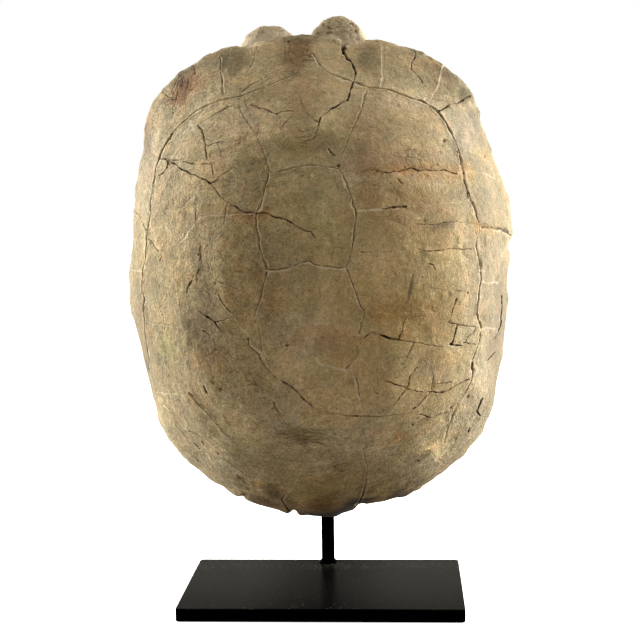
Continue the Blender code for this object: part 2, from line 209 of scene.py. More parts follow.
# Lines of the dome: points (across, up), and size of the line at both ends
MARKS: dict[Mark, list[tuple[Points, float, float]]] = {
    Mark.FURROW: [
        ([(3, 167), (4.5, 165), (7, 161), (10, 156), (13, 152.5), (16, 149.7), (20, 147.5), (25, 145.5),
          (30.5, 143.7), (36, 141.5), (44, 138), (52, 137.2), (59.5, 135.3), (67, 132), (75, 129),
          (79, 127.7), (83.5, 125), (86.5, 122.4), (90, 119.5)], 0.7, 1.0),
        ([(90, 119.5), (91, 118.7), (93, 115.6), (95, 112), (97, 107.7), (98.6, 103.3)], 1.3, 1.2),
        ([(114.2, -1.6), (112.7, -11.8), (110.9, -20), (112.9, -27.5), (114, -32.1)], 0.8, 0.9),
        ([(-6, 150), (-10.4, 148), (-17.8, 145.7), (-21.5, 143.8), (-30.6, 141), (-39.5, 138), (-47, 136),
          (-53, 134.8), (-60.7, 134), (-69.6, 130.9), (-78, 127.3), (-84.5, 123), (-89.5, 119),
          (-92, 116), (-97.6, 110.5)], 0.5, 0.7),
        ([(-97.6, 110.5), (-102.8, 103), (-106, 96.7), (-107.5, 92.6)], 1.0, 1.2),
        ([(-107.5, 92.6), (-109.4, 84), (-112.3, 72), (-114, 62.5), (-113.6, 57.6), (-115, 52.7),
          (-117, 41), (-118, 32.6), (-119, 26)], 1.0, 1.1),
        ([(-119, 26), (-120.7, 22), (-122.7, 16.6), (-123.6, 8.5), (-124.3, 4), (-122, -2), (-124, -7),
          (-123.3, -16), (-124.5, -28), (-124.2, -38), (-123.5, -46.5), (-126, -54), (-122.7, -60.5),
          (-119.5, -70.8)], 0.9, 0.7),
        ([(-43.8, 139.2), (-35.7, 144.5), (-27.5, 148.4), (-22, 152.5), (-15.6, 154.3)], 0.7, 0.4),
        ([(-23, 83), (-17, 83.4), (-13.5, 84), (-10, 84.7), (-5.8, 86), (-1.8, 86.4), (2.8, 86.2),
          (9.6, 85.8), (16.6, 84.5), (21.4, 84)], 0.7, 0.7),
        ([(-25, 87), (-23.8, 83.5), (-24.4, 80.6), (-26, 77), (-27.5, 73.8), (-29, 66), (-31.3, 60.4),
          (-33, 58), (-34.1, 54), (-34, 50), (-33.2, 43), (-32.4, 34.3), (-31.4, 31), (-29.3, 23.5),
          (-28.3, 20.3)], 0.9, 0.9),
        ([(21.4, 84), (23.4, 81.5), (24.8, 78.6), (27.4, 72), (29.4, 64.7), (31.9, 57), (32.6, 54.3),
          (32.2, 50), (31.3, 42), (30.8, 37.4), (29, 30), (27, 24), (24.7, 19)], 0.9, 0.9),
        ([(-28.2, 19.7), (-21, 19.2), (-14, 20.7), (-9.9, 21), (-6.4, 22), (-3.4, 23), (-0.4, 24),
          (2.3, 22.7), (5.8, 21), (9.2, 20), (14.3, 19.3), (18.8, 18.5), (24.4, 18.7)], 0.75, 0.7),
        ([(-28.4, 18), (-29.8, 12.8), (-30.8, 9.4), (-31.5, 5.3), (-34, -2), (-35.4, -5.6), (-36.9, -9.7),
          (-38.7, -12)], 0.8, 0.5),
        ([(-36.2, -17.8), (-34.8, -24.8), (-34.4, -35), (-33.3, -38.8)], 0.6, 0.7),
        ([(24.6, 18.6), (26, 15), (27.3, 11.7), (28.9, 5), (29.9, 1), (32, -6), (34.3, -11.4),
          (34.8, -13.5), (34, -16.6), (31.9, -23.5), (31.2, -25.7)], 0.9, 0.8),
        ([(29.6, -33), (29.7, -36.5), (28.4, -40.5), (26, -43.8), (23.5, -46.8), (21, -49)], 1.1, 0.9),
        ([(-46, 129), (-43.6, 124.5), (-41.2, 119.7), (-38.7, 116.8), (-33, 108), (-31.3, 103),
          (-29.5, 99), (-27, 92), (-25, 87)], 0.8, 0.5),
        ([(42, 136.6), (41, 131.5), (39.8, 126.5), (38, 121.5), (35.5, 117), (33, 112), (30.3, 106),
          (26, 96), (22, 86)], 0.8, 0.4),
        ([(-35.5, 171.7), (-36, 167), (-36.8, 162), (-38.7, 157), (-40.3, 154), (-41, 149.5)], 0.8, 0.4),
        ([(-62, 169), (-61.6, 165), (-61, 160), (-60, 155), (-59, 150), (-58.4, 145),
          (-57.5, 138)], 0.9, 0.8),
        ([(117.5, 38), (124, 37.5), (130, 35.8), (137, 32), (140, 29.5)], 1.0, 1.1),
        ([(-121, -17.5), (-114.5, -18.5), (-102.5, -18), (-90.5, -18.7)], 0.5, 0.4),
        ([(-90, -66), (-86.8, -69.5), (-81.5, -76), (-78.3, -79.5), (-75.2, -84), (-73, -88),
          (-70, -92.5), (-67, -95.8), (-62.7, -98.6)], 1.0, 0.6),
        ([(29, -112), (29.5, -119.7), (30, -125.6), (29.7, -133.4), (28.2, -141),
          (25, -152.5)], 0.3, 0.9),
        ([(-30.5, -148), (-33.5, -155)], 0.3, 0.5),
        ([(-72, -117.4), (-69, -120), (-63.5, -125), (-60, -128), (-56, -133)], 0.7, 0.5),
        ([(-63, -133), (-60, -138.5), (-56, -141)], 0.8, 0.8),
    ],
    Mark.BAND: [
        ([(97, 107.7), (98.6, 103.3), (100.5, 99), (102.3, 94.7), (103.7, 89.5), (104.8, 84), (106, 73.7),
          (106.6, 69.3), (108.2, 64), (108.4, 59.6), (110.4, 56), (112.5, 52), (113.3, 48),
          (115.5, 42)], 0.5, 0.8),
        ([(112, 36.5), (113.2, 31.4), (112.6, 26), (113.5, 21), (115.4, 15), (115.2, 8)], 0.3, 0.9),
        ([(115.2, 8), (115.7, 2), (114.4, -2)], 0.7, 0.4),
        ([(113.5, -34), (112.9, -37), (112.7, -40)], 0.4, 0.5),
        ([(106.6, -56.7), (107.3, -63.1), (106.4, -68.8)], 1.6, 0.9),
        ([(106.4, -68.8), (103.6, -74.8), (100.6, -79.3), (99, -82)], 0.5, 0.3),
        ([(96, -86), (93.8, -90.3), (90.8, -97)], 0.3, 0.9),
        ([(90.6, -98), (87.1, -107.1), (84.8, -116.1)], 0.7, 0.2),
        ([(-112.3, 72), (-114, 62.5), (-113.6, 57.6), (-115, 52.7), (-117, 41), (-118, 32.6)], 0.4, 0.8),
        ([(-122.7, 16.6), (-123.6, 8.5), (-124.3, 4), (-122, -2), (-124, -7), (-123.3, -16)], 0.4, 0.5),
    ],
    Mark.HAIR: [
        ([(98.6, 103.3), (100.5, 99), (102.3, 94.7), (103.7, 89.5), (104.8, 84)], 1.0, 1.1),
        ([(109.6, 57), (112.5, 52), (113.6, 48), (115.4, 43)], 1.1, 0.8),
        ([(112.6, 29), (113.5, 21), (115.2, 8), (115.7, 2), (114.4, -2)], 0.9, 1.2),
        ([(113.2, -38), (111.9, -42.7), (109.5, -48.7), (106.7, -56.9)], 0.6, 0.8),
        ([(107.2, -56.7), (107.6, -63.1), (106.8, -68.8)], 1.0, 0.6),
        ([(106.4, -68.8), (103.6, -74.8), (100.6, -79.3), (99, -82)], 1.0, 0.8),
        ([(-93.5, -108), (-90, -112.8)], 1.4, 1.4),
        ([(-83, 163), (-81.6, 161), (-80.3, 157.6), (-80.2, 154.6)], 1.0, 1.0),
        ([(-106, 144.5), (-103.6, 143), (-100.7, 141), (-94.3, 138), (-91.5, 137.8)], 1.2, 1.0),
        ([(-130, 59.7), (-124, 56.8), (-122.7, 52.8), (-118.8, 48), (-116.3, 46)], 1.0, 1.0),
        ([(76.2, 165), (76.6, 161), (75, 157), (73.5, 151.5), (73.8, 149.5), (77, 147), (79.5, 143),
          (81, 140.7)], 1.3, 0.9),
        ([(114.4, 130.8), (110, 128.6), (107, 126.8), (102.7, 124.6), (98.4, 123.8)], 2.4, 1.0),
        ([(49.7, 55.4), (57, 56), (65.6, 56.4)], 1.0, 1.9),
        ([(-61.5, 2), (-59.4, -1.5), (-57.5, -5), (-55, -7.5)], 1.0, 1.4),
        ([(-42.5, -25.5), (-43, -29), (-42, -32), (-39, -34.6), (-36.5, -37)], 1.1, 1.3),
        ([(-36, -38), (-32.8, -45.8), (-30, -48.4), (-26.3, -53), (-22.5, -55), (-18.7, -57.6),
          (-13.7, -61.7), (-10.6, -65.4), (-7.5, -69.1), (-3.1, -73.6)], 1.2, 1.4),
        ([(75, -118), (72, -119)], 1.6, 1.0),
        ([(9.2, 113), (9.2, 110), (7.5, 106.7)], 1.2, 0.6),
        ([(-19.6, 122), (-16, 123.6), (-11.7, 124), (-7.5, 123)], 1.4, 0.7),
        ([(-7.6, 122.4), (-10, 119.3), (-13, 115.8), (-15.3, 112.4), (-16.4, 111.3)], 0.8, 1.0),
        ([(-111.8, 100.5), (-110.7, 98), (-105, 96.7), (-101, 96), (-97.7, 95)], 0.8, 1.0),
        ([(-101, 96.2), (-97, 95.6), (-92.3, 94.6), (-88.6, 94.2)], 1.3, 1.0),
        ([(-84.7, 93.4), (-80.4, 92), (-76, 91)], 1.6, 1.2),
        ([(-71.5, 90.6), (-68, 90.2), (-66.8, 90.5)], 1.2, 1.2),
        ([(-64.3, 77), (-61.5, 78.3), (-57.8, 81.6), (-54.7, 83.5), (-51.6, 85.4),
          (-49.2, 87)], 1.0, 0.5),
        ([(-64.3, 77), (-62, 73.8), (-60.3, 70.4), (-57.3, 67.4), (-54, 64.5), (-51, 63),
          (-48.6, 62)], 1.0, 1.0),
        ([(2.3, 43), (3.8, 40.5), (4.9, 38.8)], 1.0, 1.0),
        ([(-54, 64.5), (-54, 61), (-55, 56), (-56, 50)], 0.7, 0.7),
        ([(-70.6, 110), (-69.2, 106.4), (-68.5, 103), (-68, 97), (-67.6, 93), (-64.7, 91), (-63.4, 87.6),
          (-62.8, 83)], 1.3, 0.6),
        ([(-67.5, 103), (-64.3, 103.5), (-60.2, 105), (-56.8, 105.4)], 0.9, 0.7),
        ([(-47, 105.4), (-43.8, 106)], 1.0, 1.0),
        ([(-60.2, 104), (-58, 101), (-55.6, 98), (-53, 95)], 0.8, 0.6),
        ([(-50, 129.6), (-54.5, 128.6), (-60.5, 125.8), (-64.4, 123.4), (-69, 120.5)], 1.0, 1.0),
        ([(-31.8, 116), (-32, 111.5), (-32.8, 107), (-31.3, 103)], 0.6, 0.5),
        ([(-76.5, 59), (-76.5, 54.5)], 1.0, 1.0),
        ([(-114.7, 41), (-112, 38), (-109, 34), (-107, 32.4)], 1.1, 1.1),
        ([(-105.5, 30), (-104.8, 28), (-106.3, 25.7)], 1.0, 1.0),
        ([(-80.6, 12.7), (-82, 10), (-84.3, 7.5), (-84.7, 4.6)], 1.4, 1.2),
        ([(-66, -15), (-61.6, -14), (-58, -13), (-54.4, -12)], 1.1, 0.7),
        ([(-74.5, -21), (-72, -22.5), (-69.6, -25.5)], 1.2, 1.0),
        ([(-61, 12.7), (-57, 10.5), (-52.7, 9), (-49, 7)], 0.8, 0.6),
        ([(-70.6, 5.6), (-68, 3)], 1.0, 1.0),
        ([(60.8, 75), (63, 71.6)], 1.2, 1.2),
        ([(79.5, 17), (81.5, 16.3), (83.2, 12.8)], 1.0, 1.0),
        ([(33.5, -29), (36, -27), (37.8, -25.5), (44.5, -27.8)], 1.2, 1.2),
        ([(56.2, -31.7), (61.7, -33.6), (67.8, -35.3), (73.3, -37), (80.4, -39), (86, -40.3)], 1.3, 0.7),
        ([(59.2, -26), (60.5, -21), (62.3, -16.6)], 0.9, 0.5),
        ([(66.5, -35), (65, -38), (63.5, -41.5), (60.5, -46), (59, -48.7)], 1.0, 0.5),
        ([(90.8, -24.6), (96.6, -26.5), (100.4, -27.6), (104.4, -28.5), (109.8, -30)], 1.3, 0.9),
        ([(110, -31), (107.8, -34.7), (104.7, -35.7), (102.3, -40)], 1.1, 1.1),
        ([(113, -35.8), (112.6, -40.3)], 1.0, 1.0),
        ([(127.5, -38), (124.5, -43), (123, -42.8)], 1.3, 1.3),
        ([(81, -66.6), (85.5, -66.6), (91.2, -67)], 1.1, 1.1),
        ([(67.8, -52), (64.3, -55.7), (62.3, -59), (61.5, -63.3), (60, -66.5), (58.5, -69), (55, -73.6),
          (50.6, -77.5)], 1.1, 0.8),
        ([(79.5, -60.5), (78.6, -65), (77.5, -70)], 0.9, 1.1),
        ([(76.7, -72.3), (73.8, -74.5), (71, -77), (68, -81)], 1.4, 0.8),
        ([(64, -82.5), (66.5, -81.8)], 1.2, 1.2),
        ([(38.5, -64.4), (40.5, -67.8), (41.5, -68.6)], 1.0, 1.0),
        ([(104.5, -107), (103.7, -110.3)], 1.3, 1.3),
        ([(50.5, -140), (54, -141.5), (58.5, -143.3)], 1.4, 1.2),
        ([(10, -79), (14, -80), (17.8, -82)], 1.0, 1.0),
        ([(10.5, -121.5), (15.5, -120.3)], 1.2, 1.2),
        ([(6.5, -121.8), (9, -123.5), (10.5, -126.3)], 1.2, 1.0),
        ([(-30, -71), (-28, -75.6), (-26.3, -78.4), (-23, -84.8), (-22, -87.5), (-20.5, -89)], 1.1, 0.8),
        ([(-39, -67.4), (-35.5, -67.3)], 1.2, 1.2),
        ([(-76.8, -59.5), (-76, -64.4)], 1.3, 1.3),
        ([(-66, -81), (-64.5, -83.5)], 1.0, 1.0),
        ([(-86.8, -104.5), (-85.5, -107.5)], 1.3, 1.3),
        ([(-95, -97.3), (-89, -99.4), (-83, -102)], 0.8, 0.6),
        ([(37, 80), (45.5, 81.8), (50, 80.4), (54, 79.3), (60.5, 79.4), (69.6, 81.4), (75, 79.6),
          (80.6, 79.6), (87.6, 79), (93, 78.5), (97, 77), (101, 76)], 0.6, 1.3),
        ([(71.5, 44), (79, 43.5), (83.5, 43), (93.5, 43.8), (104, 42.5)], 1.0, 0.6),
        ([(-11.4, 175.3), (-11.9, 169.9), (-11.7, 163.7), (-10.1, 159.1), (-6.5, 155.9)], 1.2, 0.8),
        ([(-73.6, 37), (-74.6, 33), (-73.2, 29), (-74.8, 25.5)], 0.7, 1.0),
        ([(-75.3, 20), (-77.6, 15.5), (-77.2, 12)], 0.9, 0.7),
        ([(7.9, -79.3), (20, -82.3), (33.9, -84.1), (48, -85.6), (64.4, -84.7)], 0.9, 0.6),
        ([(-14.6, 170), (-14, 162), (-15, 157.5)], 1.0, 0.8),
        ([(27, -55.5), (28.6, -65.7), (29.7, -75)], 0.6, 0.6),
        ([(71.7, 27), (77.8, 26), (87.4, 25.6), (92, 25.7), (98, 25.4), (108.8, 24)], 0.9, 1.0),
        ([(35, 28.5), (44, 27.5), (54.4, 27.4)], 0.6, 0.6),
    ],
    Mark.CRACK: [
        ([(106, 72), (107.2, 67), (108.4, 62), (108, 58.6)], 0.6, 1.2),
        ([(113.5, 20), (115, 15), (114.8, 11)], 0.6, 0.7),
        ([(-95.9, 113.2), (-94.6, 114.6), (-96.7, 110.4)], 0.8, 0.8),
        ([(98.4, 123.8), (96, 122), (91.4, 119.6)], 1.0, 1.1),
        ([(25, -152.5), (22.5, -160.5), (20, -167)], 0.8, 1.7),
        ([(-33.5, -155), (-33, -162), (-31.5, -170)], 0.4, 1.3),
        ([(26.5, 177), (26.2, 167), (26.9, 164)], 7.0, 3.0),
        ([(26.9, 164), (28.4, 160), (31, 158), (32.8, 154.6), (34, 151), (34.7, 148.8)], 1.7, 1.2),
        ([(34.7, 148.8), (34, 145), (32.8, 141.7), (32, 138.5), (30.6, 134.8), (29.9, 131.8),
          (28.6, 129.3)], 0.9, 1.1),
        ([(28.6, 129.3), (25.3, 128), (24, 126.8), (20, 124.5), (18, 124.3), (17.2, 123), (15, 121),
          (13.3, 119.5), (11, 119.4), (10.4, 116), (9.2, 113)], 0.5, 0.5),
        ([(-36.9, 129.5), (-34.5, 128.8), (-32.7, 127), (-29.7, 126.3), (-26.8, 125.8), (-22.6, 123),
          (-19.6, 122)], 0.55, 0.7),
        ([(-97.7, 95), (-96.3, 94), (-92, 91.3), (-84.7, 87.4), (-79, 84.5), (-74, 82), (-70.3, 80.4),
          (-67, 78.6), (-64.3, 77)], 0.75, 0.7),
        ([(-98.3, 94.6), (-97.5, 92), (-98.7, 90), (-100.5, 87.5), (-103.6, 85.5),
          (-106.4, 84.6)], 1.3, 0.7),
        ([(-48.6, 62), (-44.5, 59.5), (-41, 57.7), (-38, 57.7), (-35, 56.7), (-29.3, 56.7), (-27, 57),
          (-24.3, 55.3), (-21, 53.5), (-17.7, 53), (-13.3, 51), (-10.5, 49), (-7.8, 47), (-5, 45.7),
          (-1, 44), (2.3, 43)], 0.75, 0.45),
        ([(-75, 117.4), (-71.7, 114), (-70.6, 110)], 0.9, 0.7),
        ([(15.4, 97), (16.6, 94.4), (19.8, 92)], 0.9, 0.6),
        ([(-77.5, -7), (-73.7, -9.7), (-70, -12), (-66, -15)], 0.7, 0.9),
        ([(-66, -15), (-64, -18), (-61.6, -21.6)], 0.9, 0.5),
        ([(44.5, -27.8), (50, -30), (56.2, -31.7)], 0.75, 0.9),
        ([(56.5, -31.4), (57.8, -28), (59.2, -26)], 0.7, 0.5),
        ([(97, -8.6), (94, -14.7), (92.5, -20), (90.8, -24.6)], 0.5, 0.55),
        ([(96.6, -26.5), (95, -32.7), (93.3, -38.4), (91.9, -39.6)], 0.5, 0.5),
        ([(91.5, -39.5), (95.5, -40.8), (99.8, -42)], 1.0, 0.8),
        ([(101.2, -40), (105.5, -41.3), (109, -42.6)], 0.9, 0.8),
        ([(131, -13), (130.8, -18), (130.6, -21.7), (129.7, -26.6), (129.4, -33.4),
          (128, -36.5)], 1.3, 2.0),
        ([(47, -59.5), (50.7, -61), (56.8, -64), (60, -66.6), (65, -69), (69.8, -70),
          (75.3, -72)], 0.5, 0.7),
        ([(75.3, -72), (78, -72.3), (82.3, -72.7), (86.8, -73.2), (90.5, -72.4), (94, -70), (98.5, -69),
          (104.5, -67.3)], 0.9, 0.55),
        ([(69.7, -87.7), (74, -90.5), (77.7, -92), (79.8, -91.3), (82.8, -90), (87.5, -90)], 0.5, 0.55),
        ([(114.5, -85.4), (112.5, -89.8), (111, -92.6), (110, -94.8), (111.5, -98.6),
          (113, -99.8)], 1.0, 0.7),
        ([(124.3, -53.5), (121, -54.6), (118.6, -57.1)], 0.9, 0.7),
    ],
    Mark.STREAK: [
        ([(104.5, 84), (107, 74), (109.5, 62), (113, 52), (115, 44)], 1.0, 1.2),
        ([(106.6, -57), (107, -63), (105.6, -70)], 0.9, 0.8),
        ([(-8.5, -68), (-5.5, -71), (-3.1, -73.6), (2, -77)], 0.8, 1.0),
        ([(-3, 136.8), (-3.6, 132.4), (-0.2, 123), (2, 120.5), (5, 117.4), (10, 114)], 1.0, 1.0),
        ([(-72.5, 35.5), (-74.4, 31), (-74, 27), (-73, 22), (-75.5, 15), (-77.8, 11)], 0.9, 0.9),
        ([(-90.8, -1.5), (-90, -8.6), (-89.3, -15), (-88.5, -19), (-87.3, -24.5)], 1.4, 1.2),
        ([(104, 43), (113.9, 41), (126.7, 38.1), (138, 33)], 1.2, 1.6),
        ([(68.3, 10.6), (64.2, -5.8), (59, -18.8)], 1.8, 1.4),
        ([(-76.2, 64.9), (-76.5, 52.8), (-72.1, 30), (-75.7, 16.6), (-82.9, 7.8),
          (-87.3, -2.5)], 0.9, 0.6),
        ([(-76, 64.5), (-77, 60), (-76.4, 56.5)], 1.3, 1.0),
        ([(74, 4), (90.7, -2), (97, -3), (108.8, -4.6)], 0.8, 1.0),
    ],
    Mark.SEAM: [
        ([(115, 37), (115.8, 31), (116, 25.5), (115.8, 20)], 1.2, 1.0),
        ([(26.3, 19.8), (27.3, 17), (28.8, 13.4)], 1.0, 1.0),
        ([(-1, 153.6), (9, 153.5)], 1.0, 1.0),
        ([(-6.5, 154), (-7, 150), (-6.3, 146)], 1.0, 1.0),
        ([(-137.5, 17.5), (-121, 17.5)], 1.0, 1.0),
        ([(106.5, 76), (113, 77.5), (123, 75.5), (131, 71)], 1.0, 1.0),
        ([(116.5, 1), (124.5, -2), (129, -2)], 1.4, 1.4),
        ([(113.8, -32), (120, -33), (128, -36)], 1.6, 1.6),
        ([(113, -100), (119, -104)], 1.0, 1.0),
        ([(36.2, -12.3), (54, -13.6), (71.9, -14.6), (90.5, -17.5), (110.9, -20.7)], 0.5, 0.7),
        ([(79.7, 56.2), (86, 57), (92.1, 57.4), (100, 56.6), (109.1, 57.6)], 1.2, 1.2),
        ([(-119.5, -71), (-110, -70), (-95, -68)], 1.3, 1.1),
        ([(-37.5, -128), (-33.5, -123), (-30.8, -118.5), (-28, -113)], 1.0, 1.0),
        ([(74, -118), (80, -128), (85.5, -136)], 1.6, 1.4),
        ([(71, -120), (66.5, -124), (59.5, -127.5), (55, -125), (52, -121)], 1.2, 1.0),
    ],
    Mark.WORN: [
        ([(-120.3, -76), (-115, -80.8), (-111, -82.6), (-107.6, -86.5), (-101.5, -94), (-97.6, -102.5),
          (-93.5, -108), (-90, -112.8)], 1.1, 1.2),
        ([(-20.8, -49.5), (-15.8, -47.4), (-13, -45.7), (-9.5, -45.4), (-5.9, -43.4), (-2.3, -42.3),
          (0.6, -42.4), (3.4, -43.8), (6.8, -45.4), (11, -47), (14.4, -48.6), (18.6, -49.2),
          (24.5, -49.6)], 0.9, 0.8),
        ([(26, -42.5), (24.6, -49.3), (25.4, -54.7), (26.6, -60), (27.4, -66.4), (28.6, -71),
          (29.7, -79.6)], 1.1, 0.9),
        ([(53.2, 169.6), (53.8, 164), (53.8, 159), (53.4, 152.6), (53.4, 146), (52.7, 141),
          (51.4, 136.6)], 1.6, 1.3),
        ([(96.8, 153), (95.4, 149.7), (94.3, 145.8), (93, 140.6), (91, 135.5), (88.6, 131.7),
          (84.2, 125.5)], 1.2, 1.1),
        ([(33.2, 55), (41, 55.2), (49.7, 55.4)], 0.6, 0.8),
        ([(-74.2, 55.5), (-65, 56.6), (-52.9, 56.6), (-34.9, 56.2)], 1.0, 0.8),
        ([(-68, 5.5), (-62.3, 1.0), (-58, -6), (-55.6, -9), (-52, -12.4), (-49.8, -16.6), (-47, -19.5),
          (-44, -22), (-41.2, -25), (-42, -29), (-41.3, -31), (-38, -33.6), (-35.3, -35.4)], 0.8, 0.9),
        ([(-34.8, -35.4), (-31.4, -45.1), (-26.4, -51.5), (-21.3, -55.1), (-17, -58.4)], 0.9, 0.8),
        ([(-73, 56.6), (-76.8, 52.6), (-79.6, 49.7), (-83, 45.7), (-86.5, 41.6), (-91, 37)], 1.3, 1.0),
    ],
}


# Finely wrinkled areas of the dome
WRINKLED = [
    Wrinkled(-91, 146, 9, 13, -38, 9), Wrinkled(-11, -96.5, 19, 8, -5, 22), Wrinkled(-42, -53, 9, 6, -15, 9),
    Wrinkled(12, -121, 12, 7, 30, 5), Wrinkled(-3, 165, 6, 12, 60, 7), Wrinkled(3, 106, 10, 4, 10, 8),
]

# Pits in the dome: across, up, radius and depth
PITS = [
    (-12.3, 175, 1.4, 1.2), (1, 173, 1.2, 1.0), (-2.5, 80, 1.0, 1.0), (73, 93, 0.8, 0.6), (76, 90, 0.9, 0.7),
    (74, 79, 0.9, 0.6), (93.4, 98.6, 2.0, 0.9), (90, 91, 0.9, 0.7), (112, 85, 1.2, 0.8),
    (123.5, 87, 1.1, 0.8), (77, 46, 1.0, 0.6), (75.8, 23.4, 0.9, 0.6), (74, 9, 0.9, 0.6),
    (104.8, -5.4, 1.1, 0.8), (-63.8, 10.8, 0.9, 0.6), (-62, 3, 0.9, 0.6), (-58, -3.4, 0.9, 0.6),
    (-70.6, 138, 0.9, 0.7), (-95.5, 128, 1.0, 0.7), (-107.9, 127.5, 0.9, 0.6), (-69.5, -56, 1.2, 0.9),
    (-65, -61.5, 1.8, 1.3), (-75, -114, 1.6, 1.2), (-29.5, -75.6, 1.0, 0.7), (-43.5, -49.5, 1.1, 0.7),
    (-17.5, -31.5, 1.5, 1.6), (7, -27, 1.0, 0.8), (91.5, -87, 1.4, 0.9), (66.5, -126, 1.3, 0.9),
    (67, -91, 1.0, 0.7), (64, -95, 1.0, 0.7), (93.8, -113, 1.2, 0.8), (104, -81, 1.6, 1.0),
    (22, 86, 1.3, 1.0), (20, 40, 0.8, 0.6), (-16, 60, 0.8, 0.4), (0.1, 171.4, 1.2, 0.9),
    (1.6, 167.5, 1.1, 0.8), (-1.9, 166.2, 1.0, 0.7), (-15.7, 174.8, 1.2, 0.9), (10.6, -122.8, 1.0, 0.7),
    (47, 80.5, 0.9, 0.5), (58, 80, 1.0, 0.6), (66, 82, 1.0, 0.6), (70, 77, 0.9, 0.5), (83, 81, 1.0, 0.6),
    (80, 76, 0.8, 0.5), (88, 83, 0.9, 0.5), (104.4, 83, 1.2, 0.7), (106, 76, 1.3, 0.8), (109, 62, 1.1, 0.9),
    (111.4, 55, 1.1, 0.8), (102.4, 91, 0.9, 0.6), (113.6, 47, 0.9, 0.6), (-98.7, 89.5, 1.3, 0.7),
    (-75, 30, 1.0, 0.6), (-77, 13.5, 1.1, 0.7), (-60.8, 0.4, 1.0, 0.6), (-56.6, -5.4, 1.0, 0.7),
    (-43, -26.5, 1.0, 0.7), (-36.4, -37, 1.0, 0.7), (-26.6, -52.6, 1.0, 0.7), (-18.6, -57.8, 0.9, 0.6),
]

# Creases where the slope of the dome changes: points, height and reach in millimetres
CREASES = [
    ([(-93, 14), (-91, -2), (-89, -14), (-86, -30), (-79, -44), (-71, -56)], 1.8, 20.0),
    ([(-59, 44), (-57, 10), (-55, -12)], 1.1, 15.0),
    ([(98, 46), (101, 10), (100, -20)], 1.2, 20.0),
    ([(-92, -72), (-80, -92), (-66, -110)], 1.2, 16.0),
]

# Broad relief of the dome: centre, half sizes, height in millimetres, turn
SWELLS: list[tuple[float, ...]] = [
    (-5, -152, 26, 30, 2.2), (-50, -146, 17, 20, 0.4, -25), (44, -143, 17, 22, 0.3, 25),
    (-68, -153, 8, 5.5, 1.2, -25), (0, 54, 30, 32, 0.8), (0, -12, 32, 32, 0.8), (3, 116, 38, 24, 0.6),
    (4, -78, 26, 30, 0.7), (-72, 92, 34, 30, 0.7), (72, 94, 34, 30, 0.7), (-76, 22, 34, 30, 0.6),
    (76, 22, 34, 30, 0.6), (-70, -50, 34, 30, 0.5), (70, -50, 34, 30, 0.5), (-48, 153, 10, 14, 0.6),
    (44, 153, 9, 14, 0.6), (122, 56, 8, 16, 0.8), (124, 18, 8, 14, 0.8), (124, -20, 8, 14, 0.8),
    (-38, -54, 8, 7, -0.8), (-36, -145, 6, 6, -0.7), (-63, -155, 3, 5, -1.2, -30),
]
